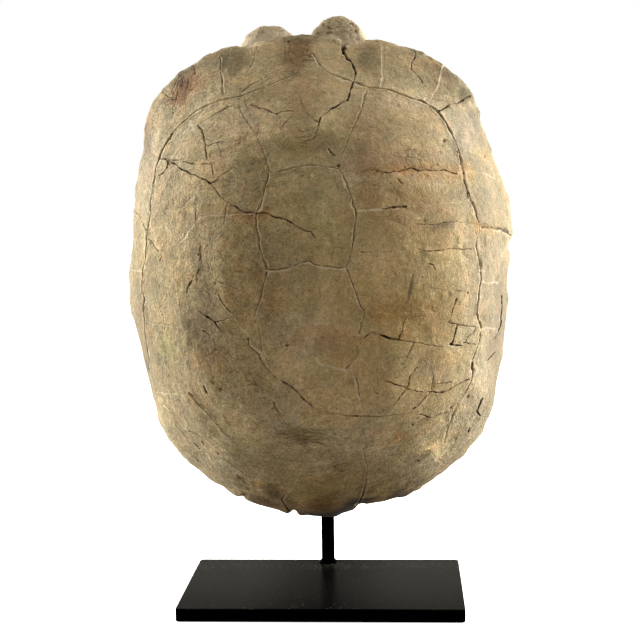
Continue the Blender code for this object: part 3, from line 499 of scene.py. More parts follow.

# Stains of the dome and patches of painted light and shade: LIGHT and SHADE are partly painted light and
# shade, partly the bone's own tone, and the dark patches along the tail's lower edge are painted shade.
# Each row: centre, half sizes, strength, turn and softness of the edge
STAINS_AND_PAINTED_LIGHT: dict[Tint, list[tuple[float, ...]]] = {
    Tint.OCHRE: [
        (68, 0, 50, 110, 0.8), (103, 72, 12, 6, 0.9, 0, 0.4), (122, 38, 10, 3.5, 1.0, -15, 0.4),
        (114, 42, 5, 8, 1.0, 0, 0.4),
    ],
    Tint.LIGHT: [
        (98, -10, 9, 70, 0.9), (100, 118, 10, 24, 1.3, -20), (-84, 10, 6, 50, 0.7, 5),
        (-72, -24, 7, 36, 0.6, 10), (-20, 120, 12, 14, 1.0), (38, 144, 7, 12, 1.0),
        (112, -60, 9, 30, 0.8), (30, -104, 22, 12, 0.6), (4, -56, 30, 54, 0.55), (62, -42, 10, 9, 1.0),
        (70, -74, 26, 18, 0.5), (79, -120, 12, 11, 1.1, 20), (76, 86, 26, 24, 0.8),
        (-46, -96, 10, 16, 0.8), (42, 18, 14, 12, 0.6), (-60, 66, 7, 12, 0.8), (-86, 62, 9, 26, 0.5),
        (16, 50, 10, 22, 0.6), (-108, 42, 6, 12, 0.6), (118, 100, 9, 14, 0.6, 0, 0.4),
        (-68, 118, 30, 30, 0.9), (-70, 80, 17, 16, 0.7), (24, 132, 9, 28, 1.0),
        (72, 124, 28, 14, 0.8, -15), (-32, 118, 10, 16, 0.6), (98, 22, 14, 18, 0.5),
        (-60, 20, 5, 24, 0.5), (11, 8, 6, 26, 0.5), (-14, -42, 24, 13, 0.6), (59, -62, 9, 16, 0.8),
        (-60, -86, 16, 24, 0.8), (78, -108, 15, 17, 1.0), (-80, -112, 12, 14, 0.8),
        (28, -80, 44, 24, 0.3), (-87, 24, 7, 26, 0.4, 8), (80, 134, 9, 8, 0.8), (12, 114, 5, 5, 1.0),
        (-24, 78, 5, 5, 0.5), (84, 16, 6, 9, 0.8, 0, 0.5), (-72, 6, 4, 5, 0.6), (-71, -31, 5, 6, 0.6),
        (94, -84, 7, 9, 0.6, 0, 0.5), (52, -90, 14, 12, 0.4), (-8, -124, 17, 8, 0.6, 0, 0.5),
        (75, -122, 3, 4, 1.2), (-38, 172, 9, 8, 0.5), (2, 102, 11, 6, 0.5), (-36, 176, 8, 6, 1.0, 0, 0.4),
        (-39, 151, 9, 6, 0.7, 0, 0.5), (68, 138, 13, 7, 0.55, -10, 0.5), (95, 127, 6, 5, 0.55),
        (13, 115, 7, 6, 0.5, 0, 0.5), (-71, 54, 4, 7, 0.5), (73, 31, 8, 7, 0.4), (-72, -30, 5, 6, 0.4),
        (60, -54, 8, 7, 0.35), (-78, -66, 9, 6, 0.45), (84, -126, 7, 6, 0.9, 0, 0.4),
        (78, -138, 8, 5, 0.5), (75, -127, 9, 8, 0.8, 0, 0.4), (-6, -103, 12, 5, 0.5, 0, 0.4),
        (-48, -54, 5, 5, 0.5),
    ],
    Tint.BROWN: [
        (-5, -172, 64, 20, 1.6), (-8, 166, 12, 10, 0.8), (-90, 143, 9, 6, 1.0, 50, 0.4),
        (-94, 142, 12, 7, 1.2, 40), (-118, 116, 4, 9, 1.0, -10), (-38, 57, 16, 4, 1.3),
        (86, 154, 9, 7, 0.8, -35, 0.4), (-6, 164, 6, 13, 1.0, 0, 0.35), (76, 80, 34, 5, 0.8),
        (-38, -148, 8, 6, 0.6), (-70, -40, 16, 14, 0.6), (30, -136, 40, 16, 0.5), (119, 41, 5, 5, 0.5),
    ],
    Tint.SHADE: [
        (0, -174, 40, 10, 0.8), (54, -162, 16, 9, 1.3, 30), (15, -165, 7, 9, 1.4),
        (-54, -162, 12, 9, 1.2, -30), (6, -160, 22, 12, 1.1), (16, -168, 8, 8, 1.0),
        (58, -152, 16, 7, 1.0, 25), (122, 106, 8, 16, 1.0, 10), (-120, 112, 8, 14, 1.2, -10),
        (97, 150, 8, 8, 0.8), (-132, -20, 14, 90, 0.9), (-122, -40, 22, 44, 0.5), (0, 178, 20, 10, 1.6),
        (134, -50, 14, 60, 0.6), (-50, 163, 10, 8, 1.0, 0, 0.30), (-6, 160, 11, 14, 1.0),
        (44, 157, 8, 11, 1.1, 0, 0.30), (6, -178, 54, 18, 1.3), (-66, 164, 24, 8, 0.9),
        (-95, 152, 10, 8, 1.0, 40), (-92, -18, 8, 30, 0.8), (132, -46, 12, 60, 0.9),
        (-86, 152, 12, 8, 1.2, 40), (98, 150, 7, 8, 0.8), (2, 100, 26, 8, 0.9), (-32, 68, 10, 34, 0.6),
        (44, 70, 10, 16, 0.6), (48, 58, 34, 16, 0.4), (-29, 8, 11, 26, 0.8), (-73, 14, 7, 26, 0.7, 8),
        (-74, -26, 13, 22, 1.1, 15), (-60, -46, 9, 12, 0.8), (58, -12, 30, 10, 0.7),
        (-119, -44, 7, 16, 0.8), (36, 90, 7, 14, 0.8), (-36, -154, 12, 12, 0.8), (-61, -138, 6, 7, 0.9),
        (58, -142, 8, 8, 0.8), (-112, 142, 10, 14, 0.5, 30), (112, 134, 7, 7, 1.1, -30),
        (66, 84, 14, 6, 0.6), (-84, 54, 4, 5, 0.8), (-30, 38, 12, 12, 0.6), (-60, -19, 5, 6, 0.9),
        (12, -36, 18, 10, 0.8), (-30, -44, 9, 6, 0.6), (121, -92, 8, 18, 0.9), (10, -148, 22, 6, 0.7),
        (48, -152, 10, 6, 1.0, 0, 0.4), (-78, -150, 12, 6, 0.7, -30), (-54, -160, 9, 7, 0.8, -20),
        (18, -164, 8, 6, 1.0, 0, 0.4), (50, -164, 10, 6, 1.2, 20, 0.5), (-130, 0, 8, 90, 0.5),
        (5, -178, 40, 10, 1.1), (-134, -56, 8, 8, 1.0), (22, -163, 11, 7, 0.9), (49, -162, 9, 6, 0.7),
        (-48, -163, 16, 6, 0.5), (119, 114, 6, 9, 0.6), (10, -176, 18, 6, 0.9), (-131, -54, 6, 9, 0.7),
        (100, 150, 12, 7, 0.4, -40), (49, -163, 8, 6, 0.6), (24, -163, 8, 6, 0.6),
        (-66, 162, 26, 9, 0.45), (44, 163, 9, 7, 0.5), (74, 163, 8, 6, 0.8), (-12, 150, 9, 7, 0.9),
        (104, 145, 9, 8, 0.8), (103, 138, 8, 8, 0.9), (68, 90, 17, 6, 0.65), (30, 91, 9, 8, 0.4),
        (-86, 54, 5, 8, 0.8), (-36, 18, 8, 7, 0.6), (0, 18, 8, 6, 0.4), (-112, 5, 10, 8, 0.7),
        (78, -31, 10, 6, 0.7), (-108, -42, 6, 6, 0.8), (24, -54, 6, 6, 0.8), (-96, -78, 6, 6, 0.7),
        (0, -78, 8, 6, 0.55), (-48, -90, 7, 7, 0.5), (-56, -126, 9, 6, 0.7), (-60, -138, 7, 6, 0.9),
        (48, -138, 8, 6, 0.7), (-36, -150, 8, 6, 1.0), (24, -150, 6, 6, 0.7), (71, -150, 8, 6, 1.0),
        (-48, -162, 10, 6, 1.0), (18, -162, 10, 6, 1.1), (50, -162, 9, 6, 1.1), (0, -175, 30, 8, 1.3),
        (22, -164, 9, 6, 0.9), (48, -164, 8, 6, 0.8), (2, -179, 36, 9, 1.0), (-120, 96, 8, 26, 0.7),
        (-108, 60, 7, 12, 0.5), (-112, 14, 12, 12, 0.6), (-133, -54, 8, 8, 0.9), (18, -163, 12, 6, 0.9),
        (50, -162, 10, 6, 0.9), (2, -177, 34, 9, 1.1), (48, -150, 6, 6, 0.6), (-88, 160, 10, 6, 0.5, 30),
        (-98, 152, 7, 6, 0.6, 40), (0, 178, 20, 5, 0.6),
    ],
    Tint.WARM: [
        (-115, -25, 34, 100, 1.0), (0, -156, 80, 26, 0.9),
    ],
    Tint.COOL: [
        (64, 95, 60, 50, 0.9), (10, -80, 60, 44, 1.0), (0, -26, 36, 20, 0.9), (-50, 118, 50, 24, 0.6),
        (112, 0, 22, 110, 0.6), (-117, 74, 12, 50, 0.5), (112, 118, 12, 22, 0.9),
        (84, -55, 16, 8, 1.0, 0, 0.5), (38, 24, 14, 14, 0.8), (82, 75, 16, 6, 0.7),
        (-40, 174, 12, 6, 1.2),
    ],
    Tint.PINK: [
        (-88, 146, 18, 10, 1.3, 40), (0, 132, 8, 20, 0.7), (45, 88, 22, 12, 0.7), (62, 60, 40, 30, 0.3),
        (8, -28, 24, 8, 0.7),
    ],
    Tint.DARK: [
        (68.8, -125.6, 6.5, 3.6, 0.8, 45, 0.25), (-11, -96.5, 15, 6.5, 0.75, -4, 0.6),
        (90, 44, 7, 2.5, 1.0), (-14, -98, 7, 4, 0.6, 20), (97, 126, 6, 4, 0.6, -40),
        (4, -177, 26, 8, 1.1), (114, 131, 7, 5, 1.3, -30, 0.4),
    ],
    Tint.GREY: [
        (75, -133, 7, 6, 0.9, 45, 0.3), (-75, -12, 12, 26, 0.8, 10), (60, -46, 26, 12, 0.7),
        (0, -122, 18, 8, 0.7), (-39, -54, 5, 4, 1.0), (89, 43, 7, 3, 1.0), (-27, -162, 8, 7, 1.2),
    ],
    Tint.RUSTY: [
        (-4, 169, 4, 6, 0.3, 0, 0.4), (-119, 120, 2.5, 9, 0.7, 0, 0.4), (-38, 55, 15, 4, 0.45, 0, 0.5),
        (-80, 148, 7, 4, 0.35, 35, 0.5), (57, -105, 5, 3.5, 0.9, 30, 0.5),
    ],
    Tint.ORANGE: [
        (-76, 147, 5, 3, 0.4, 30), (78, 80, 28, 5, 0.5, 0, 0.5), (56, -12, 26, 10, 0.5),
        (90, -50, 14, 9, 0.5), (-48, -140, 5, 3, 1.0), (119, 39, 7, 5, 0.5), (106, 76, 9, 7, 0.6),
        (121, 88, 7, 6, 0.5), (14, -58, 36, 38, 0.35), (-40, 2, 24, 28, 0.30), (56, 107, 46, 16, 0.25),
        (6, 101, 24, 8, 0.25), (52, 61, 26, 13, 0.25), (0, -168, 66, 24, 0.40), (70, -20, 24, 28, 0.30),
        (-78, -54, 14, 34, 0.20), (0, -130, 60, 20, 0.15), (-128, -30, 10, 30, 0.25),
        (14, -164, 10, 8, 0.7), (48, -162, 9, 7, 0.8), (-52, -162, 10, 7, 0.5), (2, -177, 28, 8, 0.6),
    ],
    Tint.OLIVE: [
        (0, 104, 34, 9, 0.7), (-38, 84, 16, 10, 0.6, -20), (0, 52, 26, 26, 0.5), (-12, -98, 16, 9, 0.9),
        (-44, -112, 16, 13, 0.9),
    ],
    Tint.GREEN: [
        (-106, -30, 11, 15, 0.8), (114, 131, 8, 6, 0.8, -30),
    ],
}


def eased(value: np.ndarray) -> np.ndarray:
    """Ease a value from 0 to 1, clamped at both ends."""
    t = np.clip(value, 0.0, 1.0)
    return t * t * (3.0 - 2.0 * t)


class Grain:
    """Seeded lattice noise in three dimensions."""

    CELLS = 64

    def __init__(self, seed: int) -> None:
        """Fill the lattice.

        Args:
            seed: Number that fixes the pattern.
        """
        self.lattice = np.random.default_rng(seed).uniform(-1.0, 1.0, (self.CELLS,) * 3)

    def layer(self, places: np.ndarray) -> np.ndarray:
        """One layer of smooth noise.

        Args:
            places: Points as rows, one lattice cell to a unit.

        Returns:
            Values from -1 to 1.
        """
        whole = np.floor(places).astype(int)
        part = places - whole
        part = part * part * (3.0 - 2.0 * part)
        total = np.zeros(len(places))
        for corner in range(8):
            step = np.array([corner & 1, corner >> 1 & 1, corner >> 2 & 1])
            share = np.prod(np.where(step, part, 1.0 - part), axis=1)
            i, j, k = ((whole + step) % self.CELLS).T
            total += share * self.lattice[i, j, k]
        return total

    def at(self, places: np.ndarray, size: float, octaves: int = 3) -> np.ndarray:
        """Layered noise.

        Args:
            places: Points as rows, in millimetres.
            size: Size of the largest lumps in millimetres.
            octaves: Number of layers, each half the size of the last.

        Returns:
            Values from about -1 to 1.
        """
        total = np.zeros(len(places))
        weight, reach = 1.0, 0.0
        for octave in range(octaves):
            total += weight * self.layer(places / size * 2.0**octave + 17.3 * octave)
            reach += weight
            weight *= 0.5
        return total / reach * 1.6


@dataclass
class ShellForm:
    """Shape of the shell before any detail, in the shell frame, in millimetres."""

    crown: float = 160.0
    rim_height: Regions = (62.0, 28.0, 48.0)
    plan_power: Regions = (2.4, 2.4, 2.3)
    crown_power: Regions = (1.05, 0.80, 0.74)
    rim: Points = field(default_factory=lambda: [
        (0, 180), (8, 177), (20, 182), (31, 182), (40, 178), (49, 164), (62, 154), (76, 146), (90, 138),
        (108, 141), (121, 149), (131, 160), (148, 169), (160, 173), (173, 173), (180, 178), (188, 177),
        (202, 175), (216, 169), (229, 163), (240, 150), (249, 143), (270, 141), (288, 142), (301, 152),
        (310, 162), (319, 177), (330, 183), (340, 184), (350, 180)])
    chips: Rows = field(default_factory=lambda: [
        (10.0, 4.0, 3.0), (81.0, 2.5, 3.5), (172.6, 2.5, 1.5), (189.6, 3.5, 1.5), (202.9, 3.5, 1.2),
        (208.5, 1.5, 1.2), (346.0, 2.0, 3.0)])
    opening_wall: Rows = field(default_factory=lambda: [
        (0.0, 0.0, 0.0), (0.08, 1.5, -3.5), (0.14, 5.0, -6.0), (0.24, 16.0, -3.0), (0.32, 20.0, -12.0)])
    opening_floor: Rows = field(default_factory=lambda: [
        (0.44, 22.0, 12.0), (0.56, 30.0, 8.0)])
    bridge_wall: Rows = field(default_factory=lambda: [
        (0.0, 0.0, 0.0), (0.08, 0.5, -8.0), (0.14, 3.0, -17.0), (0.24, 8.0, -26.0), (0.32, 17.0, -36.0)])
    bridge_floor: Rows = field(default_factory=lambda: [
        (0.44, 30.0, 6.0), (0.56, 45.0, 3.0)])
    bridge_ends: tuple[float, float] = (62.0, 122.0)
    bridge_blend: float = 9.0
    belly_half: Points = field(default_factory=lambda: [
        (0, 172), (22, 176), (42, 172), (60, 150), (78, 120), (88, 66), (101, 40), (104, 0), (101, -42),
        (86, -66), (76, -110), (56, -140), (32, -152), (14, -149), (0, -138)])
    belly_thick: float = 11.0
    belly_round: float = 2.5
    lobes: list[tuple[Vector, Vector]] = field(default_factory=lambda: [
        (Vector((-31.0, 165.0, 9.5)), Vector((25.0, 27.5, 9.5))),
        (Vector((20.0, 165.0, 10.0)), Vector((25.0, 32.0, 10.0)))])

    @staticmethod
    def by_region(values: Regions, bearing: np.ndarray) -> np.ndarray:
        """Blend head, tail and side values at bearings from the head end, in radians."""
        along = np.cos(bearing)
        head, tail = np.clip(along, 0.0, 1.0) ** 2, np.clip(-along, 0.0, 1.0) ** 2
        return values[0] * head + values[1] * tail + values[2] * (1.0 - head - tail)

    def whole_rim(self, bearing: np.ndarray) -> np.ndarray:
        """Radius of the rim before it was chipped, through its points, in millimetres."""
        degrees = np.degrees(bearing) % 360.0
        angles, radii = np.array(self.rim, dtype=float).T
        angles = np.concatenate([angles[-2:] - 360.0, angles, angles[:2] + 360.0])
        radii = np.concatenate([radii[-2:], radii, radii[:2]])
        slopes = np.gradient(radii, angles)
        i = np.clip(np.searchsorted(angles, degrees, side="right") - 1, 0, len(angles) - 2)
        span = angles[i + 1] - angles[i]
        t = (degrees - angles[i]) / span
        return (
            (2 * t**3 - 3 * t**2 + 1) * radii[i] + (t**3 - 2 * t**2 + t) * span * slopes[i]
            + (-2 * t**3 + 3 * t**2) * radii[i + 1] + (t**3 - t**2) * span * slopes[i + 1])

    def chipped(self, bearing: np.ndarray) -> np.ndarray:
        """Depth of the chips in the rim, in millimetres."""
        degrees = np.degrees(bearing) % 360.0
        total = np.zeros_like(degrees)
        for centre, depth, half_width in self.chips:
            away = np.abs((degrees - centre + 180.0) % 360.0 - 180.0)
            total += depth * (1.0 - eased(away / half_width))
        return total

    def rim_radius(self, bearing: np.ndarray) -> np.ndarray:
        """Radius of the rim less its chips, in millimetres."""
        return self.whole_rim(bearing) - self.chipped(bearing)

    def radii(self, bearing: np.ndarray) -> tuple[np.ndarray, np.ndarray, np.ndarray]:
        """Radius of the calm dome, radius of the uneven rim, and depth of its chips.

        Args:
            bearing: Bearings from the head end in radians.

        Returns:
            All three in millimetres.
        """
        steps = np.radians([-18.0, -12.0, -6.0, 6.0, 12.0, 18.0])
        rim = self.whole_rim(bearing)
        calm = (rim + sum(self.whole_rim(bearing + step) for step in steps)) / (len(steps) + 1)
        return calm, rim, self.chipped(bearing)

    @staticmethod
    def blended(calm: np.ndarray, rim: np.ndarray, chips: np.ndarray, share: np.ndarray) -> np.ndarray:
        """Radius at a share of the way to the rim: calm inside, and chipped at the rim alone."""
        return calm + (rim - calm) * eased((share - 0.80) / 0.20) - chips * eased((share - 0.95) / 0.05)

    def dome_height(self, across: np.ndarray, up: np.ndarray) -> np.ndarray:
        """Height of the smooth dome.

        Args:
            across: Places across the shell.
            up: Places up the shell.

        Returns:
            Heights above the belly plane.
        """
        bearing = np.arctan2(across, up)
        reach = np.hypot(across, up)
        calm, radius, chips = self.radii(bearing)
        share = np.clip(reach / radius, 0.0, 1.0)
        for _ in range(6):
            share = np.clip(reach / self.blended(calm, radius, chips, share), 0.0, 1.0)
        rim = self.by_region(self.rim_height, bearing)
        rise = (1.0 - share ** self.by_region(self.plan_power, bearing))
        return rim + (self.crown - rim) * rise ** self.by_region(self.crown_power, bearing)

    def bridge_share(self, bearing: np.ndarray) -> np.ndarray:
        """1 on the bridges at the sides, 0 at the head and tail openings."""
        side = np.degrees(np.abs((bearing + math.pi) % (2.0 * math.pi) - math.pi))
        first = eased((side - self.bridge_ends[0]) / self.bridge_blend + 0.5)
        last = eased((side - self.bridge_ends[1]) / self.bridge_blend + 0.5)
        return first * (1.0 - last)

    def underside(self, bearing: np.ndarray, share: np.ndarray) -> tuple[np.ndarray, np.ndarray]:
        """Radius and height of the underside.

        Args:
            bearing: Bearings from the head end in radians.
            share: 0 at the rim and 1 in the middle.

        Returns:
            Radii and heights in millimetres.
        """
        radius = self.rim_radius(bearing)
        rim = self.by_region(self.rim_height, bearing)
        results = []
        walls = ((self.opening_wall, self.opening_floor), (self.bridge_wall, self.bridge_floor))
        for wall, floor in walls:
            stations = [row[0] for row in wall + floor] + [1.0]
            insets = [np.full_like(radius, row[1]) for row in wall + floor] + [radius]
            heights = [rim + row[2] for row in wall] + [np.full_like(rim, row[2]) for row in floor]
            heights.append(np.full_like(rim, floor[-1][2]))
            inset, height = np.zeros_like(share), np.zeros_like(share)
            for k in range(len(stations) - 1):
                inside = (share >= stations[k]) & (share <= stations[k + 1])
                t = (share - stations[k]) / (stations[k + 1] - stations[k])
                inset = np.where(inside, insets[k] + (insets[k + 1] - insets[k]) * t, inset)
                height = np.where(inside, heights[k] + (heights[k + 1] - heights[k]) * t, height)
            results.append((radius - inset, height))
        side = self.bridge_share(bearing)
        return tuple(results[0][k] * (1.0 - side) + results[1][k] * side for k in range(2))


def mesh_of(name: str, bm: bmesh.types.BMesh) -> bpy.types.Mesh:
    """Turn a bmesh into mesh data and free it."""
    mesh = bpy.data.meshes.new(name)
    bm.to_mesh(mesh)
    bm.free()
    return mesh


def show(name: str, mesh: bpy.types.Mesh) -> bpy.types.Object:
    """Link a mesh to the scene as a named object."""
    piece = bpy.data.objects.new(name, mesh)
    bpy.context.scene.collection.objects.link(piece)
    return piece


def baked(piece: bpy.types.Object) -> bpy.types.Mesh:
    """Mesh of a piece with its modifiers applied, and the piece itself removed."""
    mesh = bpy.data.meshes.new_from_object(piece.evaluated_get(bpy.context.evaluated_depsgraph_get()))
    bpy.data.objects.remove(piece, do_unlink=True)
    return mesh


def places_of(mesh: bpy.types.Mesh, attribute: str = "co") -> np.ndarray:
    """Positions or normals of a mesh's vertices as rows."""
    values = np.empty(len(mesh.vertices) * 3, dtype=np.float32)
    if attribute == "normal":
        mesh.vertex_normals.foreach_get("vector", values)
    else:
        mesh.vertices.foreach_get(attribute, values)
    return values.reshape(-1, 3).astype(float)


@dataclass
class Near:
    """Places beside a route: their indices, distances, shares of the way along, and offsets."""

    index: np.ndarray
    distance: np.ndarray
    along: np.ndarray
    offset: np.ndarray

    def lit_side(self, places: np.ndarray) -> np.ndarray:
        """1 on the lamp-lit side of a line, towards the shell's middle line and down, 0 on the other.

        It places painted highlights and painted shade beside lines.
        """
        across = -np.clip(places[self.index, 0] / 40.0, -1.0, 1.0)
        down = np.full(len(across), -0.55)
        length = np.hypot(across, down) * np.maximum(self.distance, 1e-6)
        return np.clip((self.offset[:, 0] * across + self.offset[:, 1] * down) / length, 0.0, 1.0)


# A line, the places near it, and its sizes and half widths there
Beside = tuple[Line, Near, np.ndarray, np.ndarray]


class FossilShell:
    """The fossil itself: dome, rim, bridges, belly plate, throat lobes and stone filling."""

    NAME = "fossil_shell_detail"
    ACROSS, BELLY_Y, UP = -0.002, 0.075, 0.226
    LEAN = math.radians(2.0)
    VOXEL = 1.15
    QUICK_VOXEL = 1.9
    FINE_REACHES = (3.2, 1.7)
    TRIANGLES = 193000
    BACK_SHARE = 0.28
    HEIGHT_SHARE = 0.45
    REST = "unworn_place"
    # Reach of lines and of belly furrows, and thickness of the belly's skin that they mark, in millimetres
    LINE_REACH, BELLY_REACH, BELLY_SKIN = 6.0, 4.0, 3.0
    GROOVE_DEPTH, GROOVE_HALF_WIDTH, GROOVE_STAIN = 1.2, 1.7, 1.6
    # Place and half width of a line's lip, in half widths of the line
    LIP_PLACE, LIP_HALF_WIDTH = 1.7, 0.9
    # How far lines wander and stains drift, and the size of the noise that moves them, in millimetres
    WANDER, WANDER_SIZE, DRIFT, DRIFT_SIZE = 0.65, 6.0, 5.0, 16.0
    # How strongly and how often a line's width changes, and its least and greatest share
    RAGGED, RAGGED_SIZE, RAGGED_LIMITS = 0.90, 4.2, (0.18, 2.2)
    # Flat share of a swell, depth of flakes and pores, loss at the rim, and where the lobes turn spongy
    SWELL_FLAT, FLAKE_DEPTH, PORE_DEPTH, WORN_AWAY, SPONGY_FROM = 0.3, 0.28, 0.5, 0.2, -4.0
    # Darkness of pits and pores
    PIT_SHADE, PORE_SHADE = 0.85, 0.42
    # Top of the chalky film on the left and right lobe, and its border on the right flank, in millimetres
    CHALK_LEFT, CHALK_RIGHT, CHALK_FLANK = 186.5, 181.6, 36.0

    def __init__(self, form: ShellForm) -> None:
        """Keep the form and seed the noise.

        Args:
            form: Shape of the shell before any detail.
        """
        self.form = form
        self.grain = Grain(11)
        self.lines = [Line(mark, *row) for mark, rows in MARKS.items() for row in rows]
        self.lines += [line for area in WRINKLED for line in area.lines()]
        self.belly_lines = self.mirrored([
            [(0, 158), (0, 84), (1, 52), (0, 0), (-1, -40), (0, -94), (0, -140)],
            [(0, 138), (9, 143), (20, 150), (34, 162), (44, 172)],
            [(0, 84), (22, 83), (40, 80), (58, 72), (70, 66), (92, 64)],
            [(0, 52), (24, 51), (50, 48), (68, 42), (84, 40), (108, 38)],
            [(0, -40), (26, -42), (50, -46), (70, -53), (84, -54), (104, -48)],
            [(0, -94), (14, -96), (30, -102), (48, -118), (60, -128), (68, -132)]])

    @staticmethod
    def mirrored(routes: list[Points]) -> list[Points]:
        """Routes of the right half together with those of the left half."""
        return routes + [[(-across, up) for across, up in route] for route in routes[1:]]

    # Body

    def dome_body(self) -> bpy.types.Mesh:
        """Dome, rim, bridges and stone filling as one smooth closed body."""
        bm = bmesh.new()
        bmesh.ops.create_uvsphere(bm, u_segments=360, v_segments=240, radius=1.0)
        mesh = mesh_of("dome", bm)
        x, y, z = places_of(mesh).T
        form = self.form
        bearing = np.arctan2(x, -y)
        polar = np.arccos(np.clip(z, -1.0, 1.0))
        front = np.clip(polar, 0.0, math.pi / 2.0)
        share = np.sin(front) ** (2.0 / form.by_region(form.plan_power, bearing))
        plan = form.blended(*form.radii(bearing), share) * share
        rim = form.by_region(form.rim_height, bearing)
        height = rim + (form.crown - rim) * np.cos(front) ** (
            2.0 * form.by_region(form.crown_power, bearing))
        under_plan, under_height = form.underside(bearing, np.clip(polar / (math.pi / 2.0) - 1.0, 0.0, 1.0))
        back = polar > math.pi / 2.0
        plan, height = np.where(back, under_plan, plan), np.where(back, under_height, height)
        placed = np.stack([plan * np.sin(bearing), -height, plan * np.cos(bearing)], axis=-1)
        mesh.vertices.foreach_set("co", placed.ravel())
        return mesh

    def belly_plate(self) -> bpy.types.Mesh:
        """Belly plate as a flat outline with rounded edges."""
        form = self.form
        curve = bpy.data.curves.new("belly plate", "CURVE")
        curve.dimensions = "2D"
        curve.fill_mode = "BOTH"
        curve.extrude = form.belly_thick / 2.0 - form.belly_round
        curve.bevel_depth = form.belly_round
        curve.bevel_resolution = 4
        curve.offset = -form.belly_round
        curve.resolution_u = 24
        outline = form.belly_half + [(-u, v) for u, v in reversed(form.belly_half[1:-1])]
        spline = curve.splines.new("BEZIER")
        spline.bezier_points.add(len(outline) - 1)
        spline.use_cyclic_u = True
        for point, (across, up) in zip(spline.bezier_points, outline):
            point.co = (across, up, 0.0)
            point.handle_left_type = point.handle_right_type = "AUTO"
        guide = bpy.data.objects.new("belly plate", curve)
        bpy.context.scene.collection.objects.link(guide)
        mesh = baked(guide)
        stand_up = Matrix.Rotation(math.pi / 2.0, 4, "X")
        mesh.transform(Matrix.Translation((0.0, -form.belly_thick / 2.0, 0.0)) @ stand_up)
        return mesh

    def throat_lobe(self, centre: Vector, half: Vector) -> bpy.types.Mesh:
        """One rounded throat lobe of the belly plate."""
        bm = bmesh.new()
        place = Matrix.Translation((centre.x, -centre.z, centre.y))
        stretch = Matrix.Diagonal((half.x, half.z, half.y, 1.0))
        bmesh.ops.create_uvsphere(bm, u_segments=96, v_segments=64, radius=1.0, matrix=place @ stretch)
        return mesh_of("throat lobe", bm)

    def grown_together(self) -> bpy.types.Mesh:
        """All the shell's forms as one closed mesh of even faces."""
        bm = bmesh.new()
        lobes = [self.throat_lobe(*lobe) for lobe in self.form.lobes]
        for mesh in [self.dome_body(), self.belly_plate(), *lobes]:
            bm.from_mesh(mesh)
        bmesh.ops.remove_doubles(bm, verts=bm.verts, dist=0.02)
        piece = show("grown together", mesh_of("grown together", bm))
        remesh = piece.modifiers.new("grown together", "REMESH")
        remesh.mode = "VOXEL"
        remesh.voxel_size = self.VOXEL
        return baked(piece)

    # Nearness to lines

    def lifted(self, points: Points) -> np.ndarray:
        """Route points on the smooth dome, about every 2 mm, with their heights flattened."""
        route = np.array(points, dtype=float)
        along = np.concatenate([[0.0], np.cumsum(np.hypot(*np.diff(route, axis=0).T))])
        steps = np.linspace(0.0, along[-1], max(2, round(along[-1] / 2.0) + 1))
        across, up = np.interp(steps, along, route[:, 0]), np.interp(steps, along, route[:, 1])
        return np.stack([across, up, self.form.dome_height(across, up) * self.HEIGHT_SHARE], axis=-1)

    @staticmethod
    def nearness(places: np.ndarray, route: np.ndarray, reach: float) -> Near:
        """Find the places within reach of a route.

        Args:
            places: Points as rows.
            route: Route points as rows.
            reach: Largest distance that matters, in millimetres.

        Returns:
            The near places and where they lie beside the route.
        """
        low, high = route.min(axis=0) - reach, route.max(axis=0) + reach
        found = np.flatnonzero(np.all((places > low) & (places < high), axis=1))
        near = places[found]
        best = np.full(len(found), np.inf)
        along = np.zeros(len(found))
        offsets = np.zeros((len(found), 3))
        count = len(route) - 1
        for k in range(count):
            step = route[k + 1] - route[k]
            close = np.flatnonzero(np.all(
                (near > np.minimum(route[k], route[k + 1]) - reach)
                & (near < np.maximum(route[k], route[k + 1]) + reach), axis=1))
            offset = near[close] - route[k]
            share = np.clip(offset @ step / (step @ step), 0.0, 1.0)
            offset -= share[:, None] * step
            distance = np.linalg.norm(offset, axis=1)
            closer = distance < best[close]
            best[close[closer]] = distance[closer]
            along[close[closer]] = (k + share[closer]) / count
            offsets[close[closer]] = offset[closer]
        kept = best < reach
        return Near(found[kept], best[kept], along[kept], offsets[kept])

    def ragged(self, places: np.ndarray) -> np.ndarray:
        """Share of its width that a line has at each place."""
        uneven = self.RAGGED * self.grain.at(places + 71.0, self.RAGGED_SIZE, 3)
        return np.clip(1.0 + uneven, *self.RAGGED_LIMITS)

    def wandering(self, rest: np.ndarray) -> np.ndarray:
        """Places nudged along the dome by fine noise, so that lines laid over them wander a little.

        Heights are flattened, so that lines widen where the dome falls steeply to its rim.
        """
        shift = np.stack([self.grain.at(rest + offset, self.WANDER_SIZE, 3) for offset in (0.0, 31.0, 57.0)],
                         axis=-1)
        outward = (rest - (0.0, 0.0, 40.0)) / np.array([140.0, 178.0, 105.0]) ** 2
        outward /= np.linalg.norm(outward, axis=1, keepdims=True)
        shift -= outward * np.sum(shift * outward, axis=1, keepdims=True)
        return (rest + self.WANDER * shift) * (1.0, 1.0, self.HEIGHT_SHARE)

    # Zones

